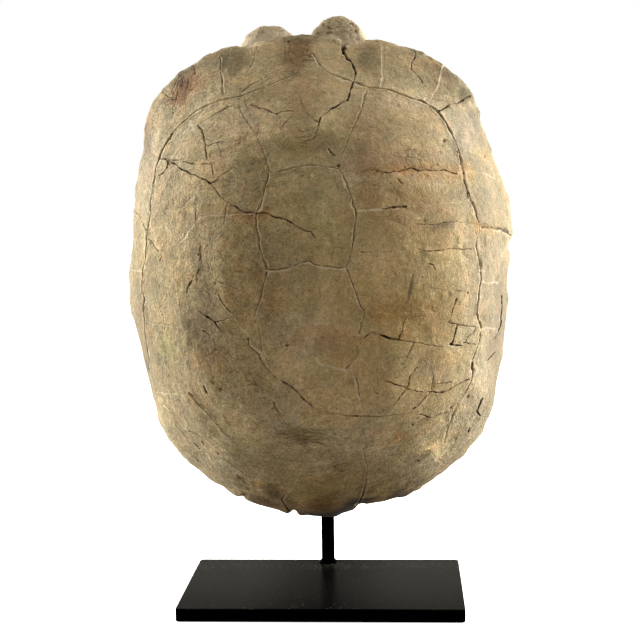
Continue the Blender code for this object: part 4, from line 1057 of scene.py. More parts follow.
    def zones(self, rest: np.ndarray) -> dict[str, np.ndarray]:
        """Shares of dome, belly plate, throat lobes, rough stone and worn rim at each place."""
        form = self.form
        across, up, height = rest.T
        bearing = np.arctan2(across, up)
        radius = np.hypot(across, up)
        rim_radius = form.rim_radius(bearing)
        rim_height = form.by_region(form.rim_height, bearing)
        dome = eased((height - form.dome_height(across, up) + 4.5) / 3.0) * (radius < rim_radius + 1.0)
        lobes = np.zeros(len(rest))
        for centre, half in form.lobes:
            reach = np.linalg.norm((rest - np.array(centre)) / np.array(half), axis=1)
            lobes = np.maximum(lobes, 1.0 - eased((reach - 1.03) / 0.08))
        lobes *= eased((up - 140.0) / 14.0) * (1.0 - dome)
        belly = (1.0 - dome) * (1.0 - eased((height - form.belly_thick) / 2.0)) * (1.0 - lobes)
        inset = rim_radius - radius
        wear = (1.0 - eased((np.hypot(inset, np.minimum(rim_height - height, 30.0)) - 1.5) / 5.0))
        side = form.bridge_share(bearing)
        stone = (1.0 - dome) * (1.0 - belly) * (1.0 - lobes) * (1.0 - side) * eased((inset - 4.0) / 4.0)
        return {"dome": dome, "belly": belly, "lobes": lobes, "stone": stone,
                "wear": wear * (1.0 - belly) * (1.0 - lobes)}

    # Relief

    def beside_lines(self, rest: np.ndarray, wander: np.ndarray) -> Iterator[Beside]:
        """The places beside each line of the dome, with the line's size and half width there.

        Args:
            rest: Unworn places in the shell frame.
            wander: The same places, nudged.

        Yields:
            The line, the near places, its sizes and its half widths.
        """
        for line in self.lines:
            near = self.nearness(wander, self.lifted(line.points), self.LINE_REACH)
            size = line.size_at(near.along)
            width = PROFILES[line.mark].half_width * np.sqrt(size) * self.ragged(rest[near.index])
            yield line, near, size, width

    @staticmethod
    def beside_pits(wander: np.ndarray) -> Iterator[tuple[np.ndarray, float]]:
        """Distances from each pit, as shares of its radius, and its depth."""
        for across, up, radius, depth in PITS:
            yield np.hypot(wander[:, 0] - across, wander[:, 1] - up) / radius, depth

    def beside_belly_lines(self, wander: np.ndarray) -> Iterator[Near]:
        """The places beside each furrow of the belly plate."""
        for route in self.belly_lines:
            points = np.array([(across, up, 0.0) for across, up in route])
            yield self.nearness(wander * (1.0, 1.0, 0.0), points, self.BELLY_REACH)

    def lumpy(self, rest: np.ndarray, layers: tuple[Lumps, ...]) -> np.ndarray:
        """Height of layers of noise."""
        return sum(layer.height * self.grain.at(rest + layer.shift, layer.size, layer.octaves)
                   for layer in layers)

    def relief(self, rest: np.ndarray) -> np.ndarray:
        """Height of all detail along the surface's normal.

        Args:
            rest: Unworn places in the shell frame.

        Returns:
            Heights in millimetres.
        """
        zones = self.zones(rest)
        dome, lobes = zones["dome"], zones["lobes"]
        wander = self.wandering(rest)
        total = self.lumpy(rest, BONE_LUMPS)
        for points, height, reach in CREASES:
            near = self.nearness(wander, self.lifted(points), reach)
            total[near.index] += dome[near.index] * height * (1.0 - near.distance / reach) ** 1.5
        for swell in (Oval(*row) for row in SWELLS):
            total += dome * swell.strength * (1.0 - eased(swell.reach(rest) - self.SWELL_FLAT))
        flakes = self.grain.at(rest * (1.0, 1.6, 1.0) + 40.0, 14.0, 3)
        total -= dome * self.FLAKE_DEPTH * eased((flakes - 0.38) / 0.10)
        channels, lips, grooves = np.zeros((3, len(rest)))
        for line, near, size, width in self.beside_lines(rest, wander):
            profile, found = PROFILES[line.mark], near.index
            depth = profile.depth * size * (1.0 - eased(near.distance / width))
            channels[found] = np.maximum(channels[found], depth)
            lips[found] = np.maximum(lips[found], profile.lip * size * np.exp(
                -((near.distance - self.LIP_PLACE * width) / (self.LIP_HALF_WIDTH * width)) ** 2))
        for reach, depth in self.beside_pits(wander):
            channels = np.maximum(channels, depth * (1.0 - eased(reach)))
        total += dome * (lips - channels)
        for near in self.beside_belly_lines(wander):
            groove = self.GROOVE_DEPTH * (1.0 - eased(near.distance / self.GROOVE_HALF_WIDTH))
            grooves[near.index] = np.maximum(grooves[near.index], groove)
        total -= zones["belly"] * (rest[:, 2] < self.BELLY_SKIN) * grooves
        total += zones["stone"] * self.lumpy(rest, STONE_LUMPS)
        porous = self.PORE_DEPTH * self.pores(rest) * (rest[:, 0] > self.SPONGY_FROM)
        total += lobes * (self.lumpy(rest, LOBE_LUMPS) - porous)
        total += zones["wear"] * (self.lumpy(rest, WORN_LUMPS) - self.WORN_AWAY)
        return total

    def pores(self, rest: np.ndarray) -> np.ndarray:
        """1 in the small pores of spongy bone, 0 between them."""
        return eased((self.grain.at(rest + 25.0, 2.2, 1) - 0.42) / 0.30)

    # Building

    @staticmethod
    def rest_of(mesh: bpy.types.Mesh) -> np.ndarray:
        """Shell frame places of a mesh that still lies in its own axes."""
        x, y, z = places_of(mesh).T
        return np.stack([x, z, -y], axis=-1)

    def rest_kept(self, mesh: bpy.types.Mesh) -> np.ndarray:
        """Unworn places that a mesh holds as an attribute."""
        rest = np.empty(len(mesh.vertices) * 3, dtype=np.float32)
        mesh.attributes[self.REST].data.foreach_get("vector", rest)
        return rest.reshape(-1, 3).astype(float)

    def refined(self, mesh: bpy.types.Mesh, reach: float) -> bpy.types.Mesh:
        """Mesh with its faces halved beside the lines of the dome.

        Args:
            mesh: The mesh to refine.
            reach: How far from a line faces are halved, in millimetres.

        Returns:
            The finer mesh.
        """
        flattened = self.rest_of(mesh) * (1.0, 1.0, self.HEIGHT_SHARE)
        near = np.zeros(len(flattened), dtype=bool)
        for line in self.lines:
            near[self.nearness(flattened, self.lifted(line.points), reach).index] = True
        bm = bmesh.new()
        bm.from_mesh(mesh)
        bm.verts.ensure_lookup_table()
        chosen = [edge for edge in bm.edges if near[edge.verts[0].index] and near[edge.verts[1].index]]
        bmesh.ops.subdivide_edges(bm, edges=chosen, cuts=1, use_grid_fill=True)
        bmesh.ops.triangulate(bm, faces=[face for face in bm.faces if len(face.verts) > 4])
        return mesh_of("refined", bm)

    def thinned(self, mesh: bpy.types.Mesh) -> bpy.types.Mesh:
        """Mesh within the triangle budget, with the dome kept finest."""
        piece = show("thinned", mesh)
        zones = self.zones(self.rest_kept(mesh))
        coarse = zones["dome"] + zones["lobes"] < 0.5
        piece.vertex_groups.new(name="back").add(np.flatnonzero(coarse).tolist(), 1.0, "REPLACE")
        triangles = sum(len(polygon.vertices) - 2 for polygon in mesh.polygons)
        first = triangles - 2 * round(coarse.sum() * (1.0 - self.BACK_SHARE))
        back = piece.modifiers.new("coarser back", "DECIMATE")
        back.ratio = first / triangles
        back.vertex_group = "back"
        thin = piece.modifiers.new("fewer faces", "DECIMATE")
        thin.ratio = min(1.0, self.TRIANGLES / first)
        LOG.info("shell before thinning: %d triangles", triangles)
        return baked(piece)

    def build(self) -> bpy.types.Object:
        """Make the shell, in place in the row frame.

        Returns:
            The shell piece.
        """
        mesh = self.grown_together()
        for reach in self.FINE_REACHES:
            mesh = self.refined(mesh, reach)
        rest = self.rest_of(mesh)
        height = self.relief(rest)
        kept = mesh.attributes.new(self.REST, "FLOAT_VECTOR", "POINT")
        kept.data.foreach_set("vector", rest.astype(np.float32).ravel())
        placed = places_of(mesh) + places_of(mesh, "normal") * height[:, None]
        mesh.vertices.foreach_set("co", placed.astype(np.float32).ravel())
        mesh.update()
        mesh = self.thinned(mesh)
        mesh.transform(Matrix.Translation((self.ACROSS, self.BELLY_Y, self.UP))
                       @ Matrix.Rotation(-self.LEAN, 4, "Y") @ Matrix.Scale(MM, 4))
        mesh.name = self.NAME
        mesh.shade_smooth()
        self.paint(mesh)
        return show(self.NAME, mesh)

    # Paint

    def paint(self, mesh: bpy.types.Mesh) -> None:
        """Store dirt, cracks, pale lips, stone, wear, chalk, stains and painted light and shade on the mesh.
        """
        rest = self.rest_kept(mesh)
        zones = self.zones(rest)
        masks = self.marked(rest, zones)
        # The colour turns duller and darker towards the sides and top, and the grain is calmer inside
        # than at the left and the tail
        side = eased((np.abs(rest[:, 0]) - 45.0) / 80.0)
        top = 0.5 * eased((rest[:, 1] - 50.0) / 110.0)
        calm = eased((rest[:, 0] + 60.0) / 75.0) * eased((rest[:, 1] + 110.0) / 60.0)
        masks.update(stone=zones["stone"], wear=zones["wear"], lobes=zones["lobes"], grain=1.2 - 0.45 * calm,
                     edge=np.clip(side + top, 0.0, 1.0), chalk=self.chalk(rest) * zones["lobes"])
        # Painted shade: everything but the dome and the front halves of the throat lobes is darkened
        masks["underside_shade"] = (1.0 - zones["dome"]) * (1.0 - zones["lobes"] * eased((rest[:, 2] - 7.0) / 4.0))
        for name, mask in masks.items():
            layer = mesh.attributes.new(name, "FLOAT", "POINT")
            layer.data.foreach_set("value", mask.astype(np.float32))
        tint = np.column_stack([self.tinted_by_stains_and_painted_light(rest, zones["dome"]), np.ones(len(rest))])
        layer = mesh.attributes.new("tint", "FLOAT_COLOR", "POINT")
        layer.data.foreach_set("color", tint.astype(np.float32).ravel())

    def marked(self, rest: np.ndarray, zones: dict[str, np.ndarray]) -> dict[str, np.ndarray]:
        """Earth in furrows, painted shade beside worn lines, darkness of cracks, pits and pores that is
        painted shade at its deepest, and pale lips that are partly painted highlights, from 0 to about 1.

        Args:
            rest: Unworn places in the shell frame.
            zones: Share of each zone at each place.

        Returns:
            The masks called dirt, crack and pale.
        """
        noise, wander = self.grain.at, self.wandering(rest)
        masks = {name: np.zeros(len(rest)) for name in ("dirt", "crack", "pale")}
        for line, near, size, width in self.beside_lines(rest, wander):
            profile, found = PROFILES[line.mark], near.index
            strength = np.clip(0.35 + 0.65 * size, 0.0, 1.5) * (1.0 + 0.4 * noise(rest[found], 9.0, 2))
            key = "crack" if line.mark in (Mark.CRACK, Mark.HAIR) else "dirt"
            if key == "crack":
                strength *= 1.0 + 0.6 * noise(rest[found] + 13.0, 3.5, 2)
            reach, lit = near.distance / width, near.lit_side(rest)
            core = np.clip(1.0 - np.abs(reach - profile.dark_place) / 1.6, 0.0, 1.0)
            edge = np.clip(1.0 - np.abs(reach - profile.pale_place) / 1.4, 0.0, 1.0)
            # Painted highlight: a pale lip set off the middle stays on the lamp-lit side. Painted shade: a
            # dark band set off the middle stays on the unlit side.
            if profile.pale_place > 0.0:
                edge *= 1.0 - profile.one_sided * (1.0 - lit)
            if profile.dark_place > 0.0:
                core *= 1.0 - profile.one_sided * eased(2.0 * lit)
            masks[key][found] = np.maximum(masks[key][found], profile.dirt * core * strength)
            masks["pale"][found] = np.maximum(masks["pale"][found], profile.pale * edge * strength)
        for reach, _ in self.beside_pits(wander):
            dark = self.PIT_SHADE * np.clip(1.0 - reach / 1.25, 0.0, 1.0)
            masks["crack"] = np.maximum(masks["crack"], dark)
        for mask in masks.values():
            mask *= zones["dome"]
        for near in self.beside_belly_lines(wander):
            found = near.index
            shown = zones["belly"][found] * (rest[found, 2] < self.BELLY_SKIN)
            shown = shown * (1.0 - eased(near.distance / self.GROOVE_STAIN))
            masks["dirt"][found] = np.maximum(masks["dirt"][found], shown)
        right_lobe = zones["lobes"] * eased((rest[:, 0] + 6.0) / 6.0)
        masks["crack"] = np.maximum(masks["crack"], right_lobe * self.PORE_SHADE * self.pores(rest))
        return masks

    def chalk(self, rest: np.ndarray) -> np.ndarray:
        """Share of chalky film low on both throat lobes and on the flank of the right one."""
        top = np.where(rest[:, 0] > -5.0, self.CHALK_RIGHT, self.CHALK_LEFT)
        low = 1.0 - eased((rest[:, 1] - top) / 2.4)
        flank = eased((rest[:, 0] - self.CHALK_FLANK) / 3.0)
        return np.maximum(low, flank) * eased((self.grain.at(rest + 9.0, 7.0, 3) + 0.6) / 0.4)

    def tinted_by_stains_and_painted_light(self, rest: np.ndarray, dome: np.ndarray) -> np.ndarray:
        """Share of red, green and blue that the stains and the painted light and shade of the dome leave."""
        tint = np.ones((len(rest), 3))
        drift = [self.grain.at(rest + offset, self.DRIFT_SIZE, 5) for offset in (0.0, 23.0, 47.0)]
        places = rest + self.DRIFT * np.stack(drift, axis=-1)
        # Tints: stains, and patches of painted light and painted shade
        for stain, rows in STAINS_AND_PAINTED_LIGHT.items():
            for patch in (Oval(*row) for row in rows):
                inside = 1.0 - eased((patch.reach(places) - 1.25 + patch.soft) / patch.soft)
                tint *= 1.0 + (patch.strength * inside * dome)[:, None] * (np.array(stain.value) - 1.0)
        return tint


class Field:
    """A number that varies over a surface: the output socket of a shader node."""

    def __init__(self, tree: ShaderTree, socket: bpy.types.NodeSocket) -> None:
        """Wrap a socket of a tree."""
        self.tree = tree
        self.socket = socket

    def _math(self, operation: str, first: Value, second: Value = 0.0) -> Field:
        """Add a Math node."""
        return self.tree.node("ShaderNodeMath", {"operation": operation}, {0: first, 1: second})

    def __add__(self, other: Value) -> Field:
        """Sum."""
        return self._math("ADD", self, other)

    __radd__ = __add__

    def __sub__(self, other: Value) -> Field:
        """Difference."""
        return self._math("SUBTRACT", self, other)

    def __rsub__(self, other: Value) -> Field:
        """Difference from a number."""
        return self._math("SUBTRACT", other, self)

    def __mul__(self, other: Value) -> Field:
        """Product."""
        return self._math("MULTIPLY", self, other)

    __rmul__ = __mul__

    def within(self, low: float, high: float) -> Field:
        """0 below low, 1 above high and eased between them."""
        return self.tree.node("ShaderNodeMapRange", {"interpolation_type": "SMOOTHSTEP"},
                              {"Value": self, "From Min": low, "From Max": high})

    def away(self, middle: float) -> Field:
        """Distance from a middle value."""
        return self._math("ABSOLUTE", self - middle)

    def mixed(self, other: Colour, share: Value) -> Field:
        """This colour with a share of another one laid over it."""
        return self.tree.node("ShaderNodeMix", {"data_type": "RGBA"}, {6: self, 7: other, 0: share}, 2)

    def times(self, other: Colour) -> Field:
        """This colour filtered by another one."""
        return self.tree.node("ShaderNodeMix", {"data_type": "RGBA", "blend_type": "MULTIPLY"},
                              {6: self, 7: other, 0: 1.0}, 2)

    def scaled(self, amount: Value) -> Field:
        """This colour or vector, brighter or longer by an amount."""
        return self.tree.node("ShaderNodeVectorMath", {"operation": "SCALE"}, {0: self, "Scale": amount})


Value = Field | float
Colour = Field | Shade


class ShaderTree:
    """Node tree of one material."""

    def __init__(self, name: str) -> None:
        """Make the material and find its Principled shader.

        Args:
            name: Name of the material.
        """
        self.material = bpy.data.materials.new(name)
        self.material.use_nodes = True
        self.nodes = self.material.node_tree.nodes
        self.shader = self.nodes["Principled BSDF"]

    def node(self, kind: str, settings: dict | None = None, inputs: dict | None = None,
             output: int = 0) -> Field:
        """Add a node.

        Args:
            kind: Type of the node.
            settings: Its properties, set before its sockets.
            inputs: Values or fields for its sockets, by name or number.
            output: Number of the output socket to use.

        Returns:
            The output as a field.
        """
        made = self.nodes.new(kind)
        for key, value in (settings or {}).items():
            setattr(made, key, value)
        for key, value in (inputs or {}).items():
            self.feed(made.inputs[key], value)
        return Field(self, made.outputs[output])

    def feed(self, socket: bpy.types.NodeSocket, value: Value | Colour) -> None:
        """Link a field to a socket, or set a plain value on it."""
        if isinstance(value, Field):
            self.material.node_tree.links.new(value.socket, socket)
        elif isinstance(value, tuple) and len(socket.default_value) == 4:
            socket.default_value = (*value, 1.0)
        else:
            socket.default_value = value

    def attribute(self, name: str, output: int = 2) -> Field:
        """Value (output 2) or colour (output 0) that the mesh holds under a name."""
        return self.node("ShaderNodeAttribute", {"attribute_name": name}, None, output)

    def noise(self, places: Field, size: float, detail: float = 3.0, rough: float = 0.55) -> Field:
        """Noise from 0 to 1 with lumps of a size in millimetres."""
        return self.node("ShaderNodeTexNoise", None, {
            "Vector": places, "Scale": 1.0 / (size * MM), "Detail": detail, "Roughness": rough})

    def colours(self, places: Field, size: float) -> Field:
        """Noise with three independent parts, for bending places."""
        return self.node("ShaderNodeTexNoise", None, {"Vector": places, "Scale": 1.0 / (size * MM)}, 1)

    def bump(self, height: Value, distance: float) -> Field:
        """Normal of a height field, with its full height in millimetres."""
        return self.node("ShaderNodeBump", None, {"Height": height, "Distance": distance * MM})

    def finish(self, colour: Colour, roughness: Value, normal: Field | None = None) -> None:
        """Feed the Principled shader."""
        self.feed(self.shader.inputs["Base Color"], colour)
        self.feed(self.shader.inputs["Roughness"], roughness)
        if normal is not None:
            self.feed(self.shader.inputs["Normal"], normal)


@dataclass(frozen=True)
class BoneNoise:
    """Noises that several looks of the bone share, from broad to fine, and the share of its grain."""

    blotches: Field
    mottle: Field
    lumps: Field
    grit: Field
    streaks: Field
    share: Field


@dataclass(frozen=True)
class FossilBone:
    """Dry matt fossil bone with stains, dirt in its furrows, stone in its openings, and painted light and
    shade.
    """

    khaki: Shade = (0.370, 0.280, 0.140)
    clay: Shade = (0.385, 0.262, 0.134)
    olive: Shade = (0.300, 0.245, 0.125)
    pale: Shade = (0.285, 0.232, 0.126)
    cream: Shade = (0.520, 0.430, 0.280)
    ochre: Shade = (0.400, 0.255, 0.095)
    rose: Shade = (0.400, 0.262, 0.168)
    ash: Shade = (0.285, 0.250, 0.180)
    lip: Shade = (0.600, 0.500, 0.340)
    dirt: Shade = (0.110, 0.072, 0.036)
    rust: Shade = (0.155, 0.090, 0.042)
    # Painted shade deep in open cracks, pits and pores
    hole_shade: Shade = (0.026, 0.016, 0.008)
    stone: Shade = (0.290, 0.240, 0.165)
    porous: Shade = (0.440, 0.365, 0.255)
    chalk: Shade = (0.660, 0.560, 0.400)
    # Share of painted shade taken off the underside and the throat lobes' backs
    underside_shade_strength: float = 0.55
    roughness: float = 0.80

    def material(self) -> bpy.types.Material:
        """Node material of the bone."""
        tree = ShaderTree("fossil_bone_finish")
        places = tree.node("ShaderNodeTexCoord", None, None, 3)
        stretched = tree.node("ShaderNodeMapping", None, {"Vector": places, "Scale": (1.0, 1.0, 0.25)})
        noise = BoneNoise(
            blotches=tree.noise(places, 15.0, 5.0, 0.65), mottle=tree.noise(places, 5.5, 4.0, 0.65),
            lumps=tree.noise(places, 3.2, 3.0, 0.6), grit=tree.noise(places, 1.3, 3.0, 0.7),
            streaks=tree.noise(stretched, 1.8, 3.0, 0.6), share=tree.attribute("grain"))
        colour = self.bare_bone(tree, places, noise).times(tree.attribute("tint", 0))
        colour = self.with_stone(tree, places, noise, colour)
        colour = self.with_marks(tree, noise, colour)
        # Painted shade on the underside and on the backs of the throat lobes
        colour = colour.scaled(1.0 - tree.attribute("underside_shade") * self.underside_shade_strength)
        specks = tree.noise(places, 1.1, 1.0, 0.5).within(0.70, 0.76)
        fissures = self.fissures(tree, places)
        colour = colour.mixed(self.dirt, specks * 0.70)
        colour = colour.mixed(self.dirt, fissures * 0.45)
        height = (noise.lumps * 0.50 + noise.mottle * 0.22 + noise.grit * 0.38 + noise.streaks * 0.06
                  - specks * 0.4 - fissures * 0.18)
        tree.finish(colour, self.roughness, tree.bump(height * noise.share, 1.45))
        tree.shader.inputs["Specular IOR Level"].default_value = 0.25
        return tree.material

    def bare_bone(self, tree: ShaderTree, places: Field, noise: BoneNoise) -> Field:
        """Colour of the bone alone: clouds, blushes, flakes and grain."""
        grain, mottle = noise.share, noise.mottle
        clouds = tree.noise(places, 42.0, 5.0, 0.6)
        blushes = tree.noise(places, 19.0, 6.0, 0.7)
        flakes = tree.noise(places, 12.0, 7.0, 0.75).within(0.535, 0.550)
        scars = tree.noise(places, 9.0, 7.0, 0.80).within(0.580, 0.600)
        colour = tree.node("ShaderNodeRGB")
        colour.socket.default_value = (*self.khaki, 1.0)
        colour = colour.mixed(self.pale, tree.attribute("edge"))
        colour = colour.mixed(self.olive, clouds.within(0.43, 0.57) * 0.55)
        colour = colour.mixed(self.clay, noise.blotches.within(0.48, 0.60) * 0.50)
        colour = colour.mixed(self.rose, grain * blushes.within(0.54, 0.66) * 0.35)
        colour = colour.mixed(self.ash, grain * (1.0 - blushes.within(0.34, 0.46)) * 0.35)
        colour = colour.mixed(self.ochre, tree.noise(places, 8.0, 5.0, 0.75).within(0.58, 0.72) * 0.25)
        colour = colour.mixed(self.cream, mottle.within(0.54, 0.72) * 0.30)
        colour = colour.mixed(self.lip, grain * flakes * 0.13)
        colour = colour.mixed(self.rust, grain * scars * 0.16)
        return colour.scaled(1.0 + grain * (
            (mottle - 0.5) * 0.70 + (noise.streaks - 0.5) * 0.30 + (noise.grit - 0.5) * 1.90
            + (noise.lumps - 0.5) * 0.85 + (noise.blotches - 0.5) * 0.25))

    def with_stone(self, tree: ShaderTree, places: Field, noise: BoneNoise, colour: Field) -> Field:
        """A colour with stone, the spongy throat lobes and the worn rim laid over it."""
        crumbs = tree.noise(places, 1.2, 3.0, 0.6)
        lobes = tree.attribute("lobes")
        wear = tree.attribute("wear") * tree.noise(places, 5.0, 4.0, 0.7).within(0.38, 0.62)
        colour = colour.mixed(self.stone, tree.attribute("stone") * 0.75)
        colour = colour.mixed(self.porous, lobes * noise.mottle.within(0.30, 0.65) * 0.75)
        colour = colour.mixed(self.lip, lobes * crumbs.within(0.54, 0.60) * 0.85)
        colour = colour.mixed(self.dirt, lobes * (1.0 - crumbs.within(0.38, 0.44)) * 0.75)
        return colour.mixed(self.cream, wear * 0.35)

    def with_marks(self, tree: ShaderTree, noise: BoneNoise, colour: Field) -> Field:
        """A colour with pale lips and earth, partly painted highlights and painted shade, cracks and chalk
        laid over it.
        """
        pale = tree.attribute("pale").within(0.02, 0.80) * (0.30 + noise.mottle * 0.9)
        dirt = tree.attribute("dirt") * (0.55 + noise.blotches * 0.9)
        crack = tree.attribute("crack") * (0.30 + noise.lumps.within(0.36, 0.60) * 0.9)
        # Pale lips are partly painted highlights; the earth beside worn lines is painted shade
        colour = colour.mixed(self.lip, pale)
        colour = colour.mixed(self.dirt, dirt.within(0.30, 0.80) * 0.90)
        colour = colour.mixed(self.rust, crack.within(0.06, 0.42) * 0.70)
        # Painted shade deep in open cracks, pits and pores
        colour = colour.mixed(self.hole_shade, crack.within(0.42, 0.85))
        return colour.mixed(self.chalk, tree.attribute("chalk") * (0.45 + noise.mottle * 0.8))

    @staticmethod
    def fissures(tree: ShaderTree, places: Field) -> Field:
        """1 on a thin net of bent fissures, which comes and goes."""
        bent = tree.node("ShaderNodeVectorMath", {"operation": "ADD"}, {
            0: places, 1: tree.colours(places, 11.0).scaled(0.014)})
        cells = tree.node("ShaderNodeTexVoronoi", {"feature": "DISTANCE_TO_EDGE"}, {
            "Vector": bent, "Scale": 1.0 / (24.0 * MM)})
        return (1.0 - cells.within(0.0, 0.018)) * tree.noise(places, 26.0, 3.0).within(0.52, 0.62)


@dataclass(frozen=True)
class BlackSteel:
    """Black satin paint on steel, with dust on its upward faces.

    Its coat shines on upward faces alone and is painted weaker in the middle and towards the front:
    painted reflection, with painted shade in it.
    """

    paint: Shade = (0.0004, 0.0004, 0.0004)
    dust: Shade = (0.20, 0.195, 0.17)
    roughness: float = 0.30
    gloss: float = 0.46
    gloss_roughness: float = 0.28

    def material(self) -> bpy.types.Material:
        """Node material of the painted steel."""
        tree = ShaderTree("black_steel_finish")
        places = tree.node("ShaderNodeTexCoord", None, None, 3)
        normals = tree.node("ShaderNodeTexCoord", None, None, 1)
        facing = tree.node("ShaderNodeSeparateXYZ", None, {0: normals}, 2)
        across = tree.node("ShaderNodeSeparateXYZ", None, {0: places})
        back = tree.node("ShaderNodeSeparateXYZ", None, {0: places}, 1)
        upward_dust_and_gloss = facing.within(0.6, 0.95)
        # Painted shade in the coat's reflection: weaker in the middle, under the shell, and towards the front
        middle = 0.48 + across.away(0.0).within(0.004, 0.062) * 0.52
        shaded = (0.62 + back.within(-0.090, 0.030) * 0.42) * middle
        smudge = tree.noise(places, 30.0, 5.0, 0.6)
        peel = tree.noise(places, 1.4, 3.0, 0.5)
        rows = back.away(0.045).within(0.004, 0.016) * 0.07
        specks = (tree.noise(places, 1.1, 1.0, 0.5) - rows).within(0.66, 0.70)
        film = upward_dust_and_gloss * (0.001 + smudge * 0.006)
        black = tree.node("ShaderNodeRGB")
        black.socket.default_value = (*self.paint, 1.0)
        colour = black.mixed(self.dust, film + specks * upward_dust_and_gloss * 0.7)
        roughness = self.roughness + smudge * 0.16 + peel * 0.05
        tree.finish(colour, roughness, tree.bump(peel, 0.03))
        tree.shader.inputs["Specular IOR Level"].default_value = 0.0
        tree.shader.inputs["Coat Roughness"].default_value = self.gloss_roughness
        # Painted reflection: the coat shines on upward faces alone, so the sides reflect nothing
        tree.feed(tree.shader.inputs["Coat Weight"], upward_dust_and_gloss * shaded * self.gloss)
        return tree.material


@dataclass(frozen=True)
class StudioPaper:
    """Plain pale studio floor."""

    colour: Shade = (0.93, 0.93, 0.92)
    glow: float = 1.0
    roughness: float = 0.9

    def material(self) -> bpy.types.Material:
        """Material of the floor."""
        tree = ShaderTree("studio_paper")
        tree.finish(self.colour, self.roughness)
        tree.shader.inputs["Emission Color"].default_value = (1.0, 1.0, 1.0, 1.0)
        tree.shader.inputs["Emission Strength"].default_value = self.glow
        tree.shader.inputs["Specular IOR Level"].default_value = 0.0
        return tree.material


@dataclass
class Stand:
    """Steel stand: flat base plate, square post and the weld at its foot. Sizes in metres."""

    # Reach of the weld bead outwards and upwards, in weld widths
    BEAD_OUT, BEAD_UP = 0.70, 0.62

    width: float = 0.200
    depth: float = 0.130
    stock: float = 0.0095
    corner: float = 0.0030
    edge: float = 0.0010
    post_edge: float = 0.0008
    post_inset: float = 0.0025
    post_top: float = 0.150
    gap: float = 0.0003
    weld_width: float = 0.0021

    @property
    def post_y(self) -> float:
        """Place of the post's middle, front to back."""
        return self.depth / 2.0 - self.post_inset - self.stock / 2.0

    def base_plate(self) -> bpy.types.Object:
        """Flat plate with rounded corners and edges."""
        bm = bmesh.new()
        bmesh.ops.create_cube(bm, size=1.0, matrix=Matrix.Diagonal((self.width, self.depth, self.stock, 1.0)))
        upright = [e for e in bm.edges if abs(e.verts[0].co.z - e.verts[1].co.z) > self.stock / 2.0]
        bmesh.ops.bevel(bm, geom=upright, offset=self.corner, segments=8, profile=0.5, affect="EDGES")
        rims = [e for e in bm.edges if len(e.link_faces) == 2 and e.calc_face_angle() > math.radians(60.0)]
        bmesh.ops.bevel(bm, geom=rims, offset=self.edge, segments=4, profile=0.5, affect="EDGES")
        bmesh.ops.translate(bm, verts=bm.verts, vec=(0.0, 0.0, self.stock / 2.0))
        return self.smooth("steel_base_plate", mesh_of("steel_base_plate", bm))

    def post(self) -> bpy.types.Object:
        """Square bar with softened edges."""
        bottom = self.stock + self.gap
        height = self.post_top - bottom
        bm = bmesh.new()
        bmesh.ops.create_cube(bm, size=1.0, matrix=Matrix.Diagonal((self.stock, self.stock, height, 1.0)))
        bmesh.ops.bevel(bm, geom=bm.edges[:], offset=self.post_edge, segments=4, profile=0.5, affect="EDGES")
        bmesh.ops.translate(bm, verts=bm.verts, vec=(0.0, self.post_y, bottom + height / 2.0))
        return self.smooth("steel_post", mesh_of("steel_post", bm))

    def weld(self) -> bpy.types.Object:
        """Rippled weld bead around the foot of the post."""
        half, around, ring = self.stock / 2.0, 160, 12
        bm = bmesh.new()
        rows = []
        for i in range(around):
            turn = 2.0 * math.pi * i / around
            reach = half / max(abs(math.cos(turn)), abs(math.sin(turn)))
            reach = min(reach, half * 1.30)
            ripple = 1.0 + 0.16 * math.sin(26.0 * turn) + 0.08 * math.sin(7.0 * turn + 1.0)
            row = []
            for k in range(ring):
                lift = 2.0 * math.pi * k / ring
                out = reach + self.weld_width * self.BEAD_OUT * ripple * math.cos(lift)
                up = self.stock + self.weld_width * self.BEAD_UP * ripple * math.sin(lift)
                row.append(bm.verts.new((out * math.cos(turn), self.post_y + out * math.sin(turn), up)))
            rows.append(row)
        for i in range(around):
            for k in range(ring):
                after, over = rows[(i + 1) % around], (k + 1) % ring
                bm.faces.new((rows[i][k], after[k], after[over], rows[i][over]))
        bmesh.ops.recalc_face_normals(bm, faces=bm.faces)
        return self.smooth("steel_weld", mesh_of("steel_weld", bm))

    @staticmethod
    def smooth(name: str, mesh: bpy.types.Mesh) -> bpy.types.Object:
        """Show a mesh with smooth shading that keeps its flats flat."""
        mesh.shade_smooth()
        piece = show(name, mesh)
        weighted = piece.modifiers.new("flat faces stay flat", "WEIGHTED_NORMAL")
        weighted.keep_sharp = True
        return piece


@dataclass(frozen=True)
class SoftBox:
    """One square soft box that points at the shell: bearing from the front, and elevation, in degrees."""

    name: str
    bearing: float
    elevation: float
    power: float
    size: float = 0.6
    distance: float = 1.1
    colour: Shade = (1.0, 0.985, 0.96)


SOFT_BOXES = [
    SoftBox("right upper box", 109.0, 20.0, 23.0), SoftBox("right lower box", 123.0, -15.0, 16.0),
    SoftBox("left upper box", -110.0, 20.0, 20.0), SoftBox("left lower box", -117.0, -15.0, 17.0),
    SoftBox("top box", 3.0, 89.0, 3.0),
]


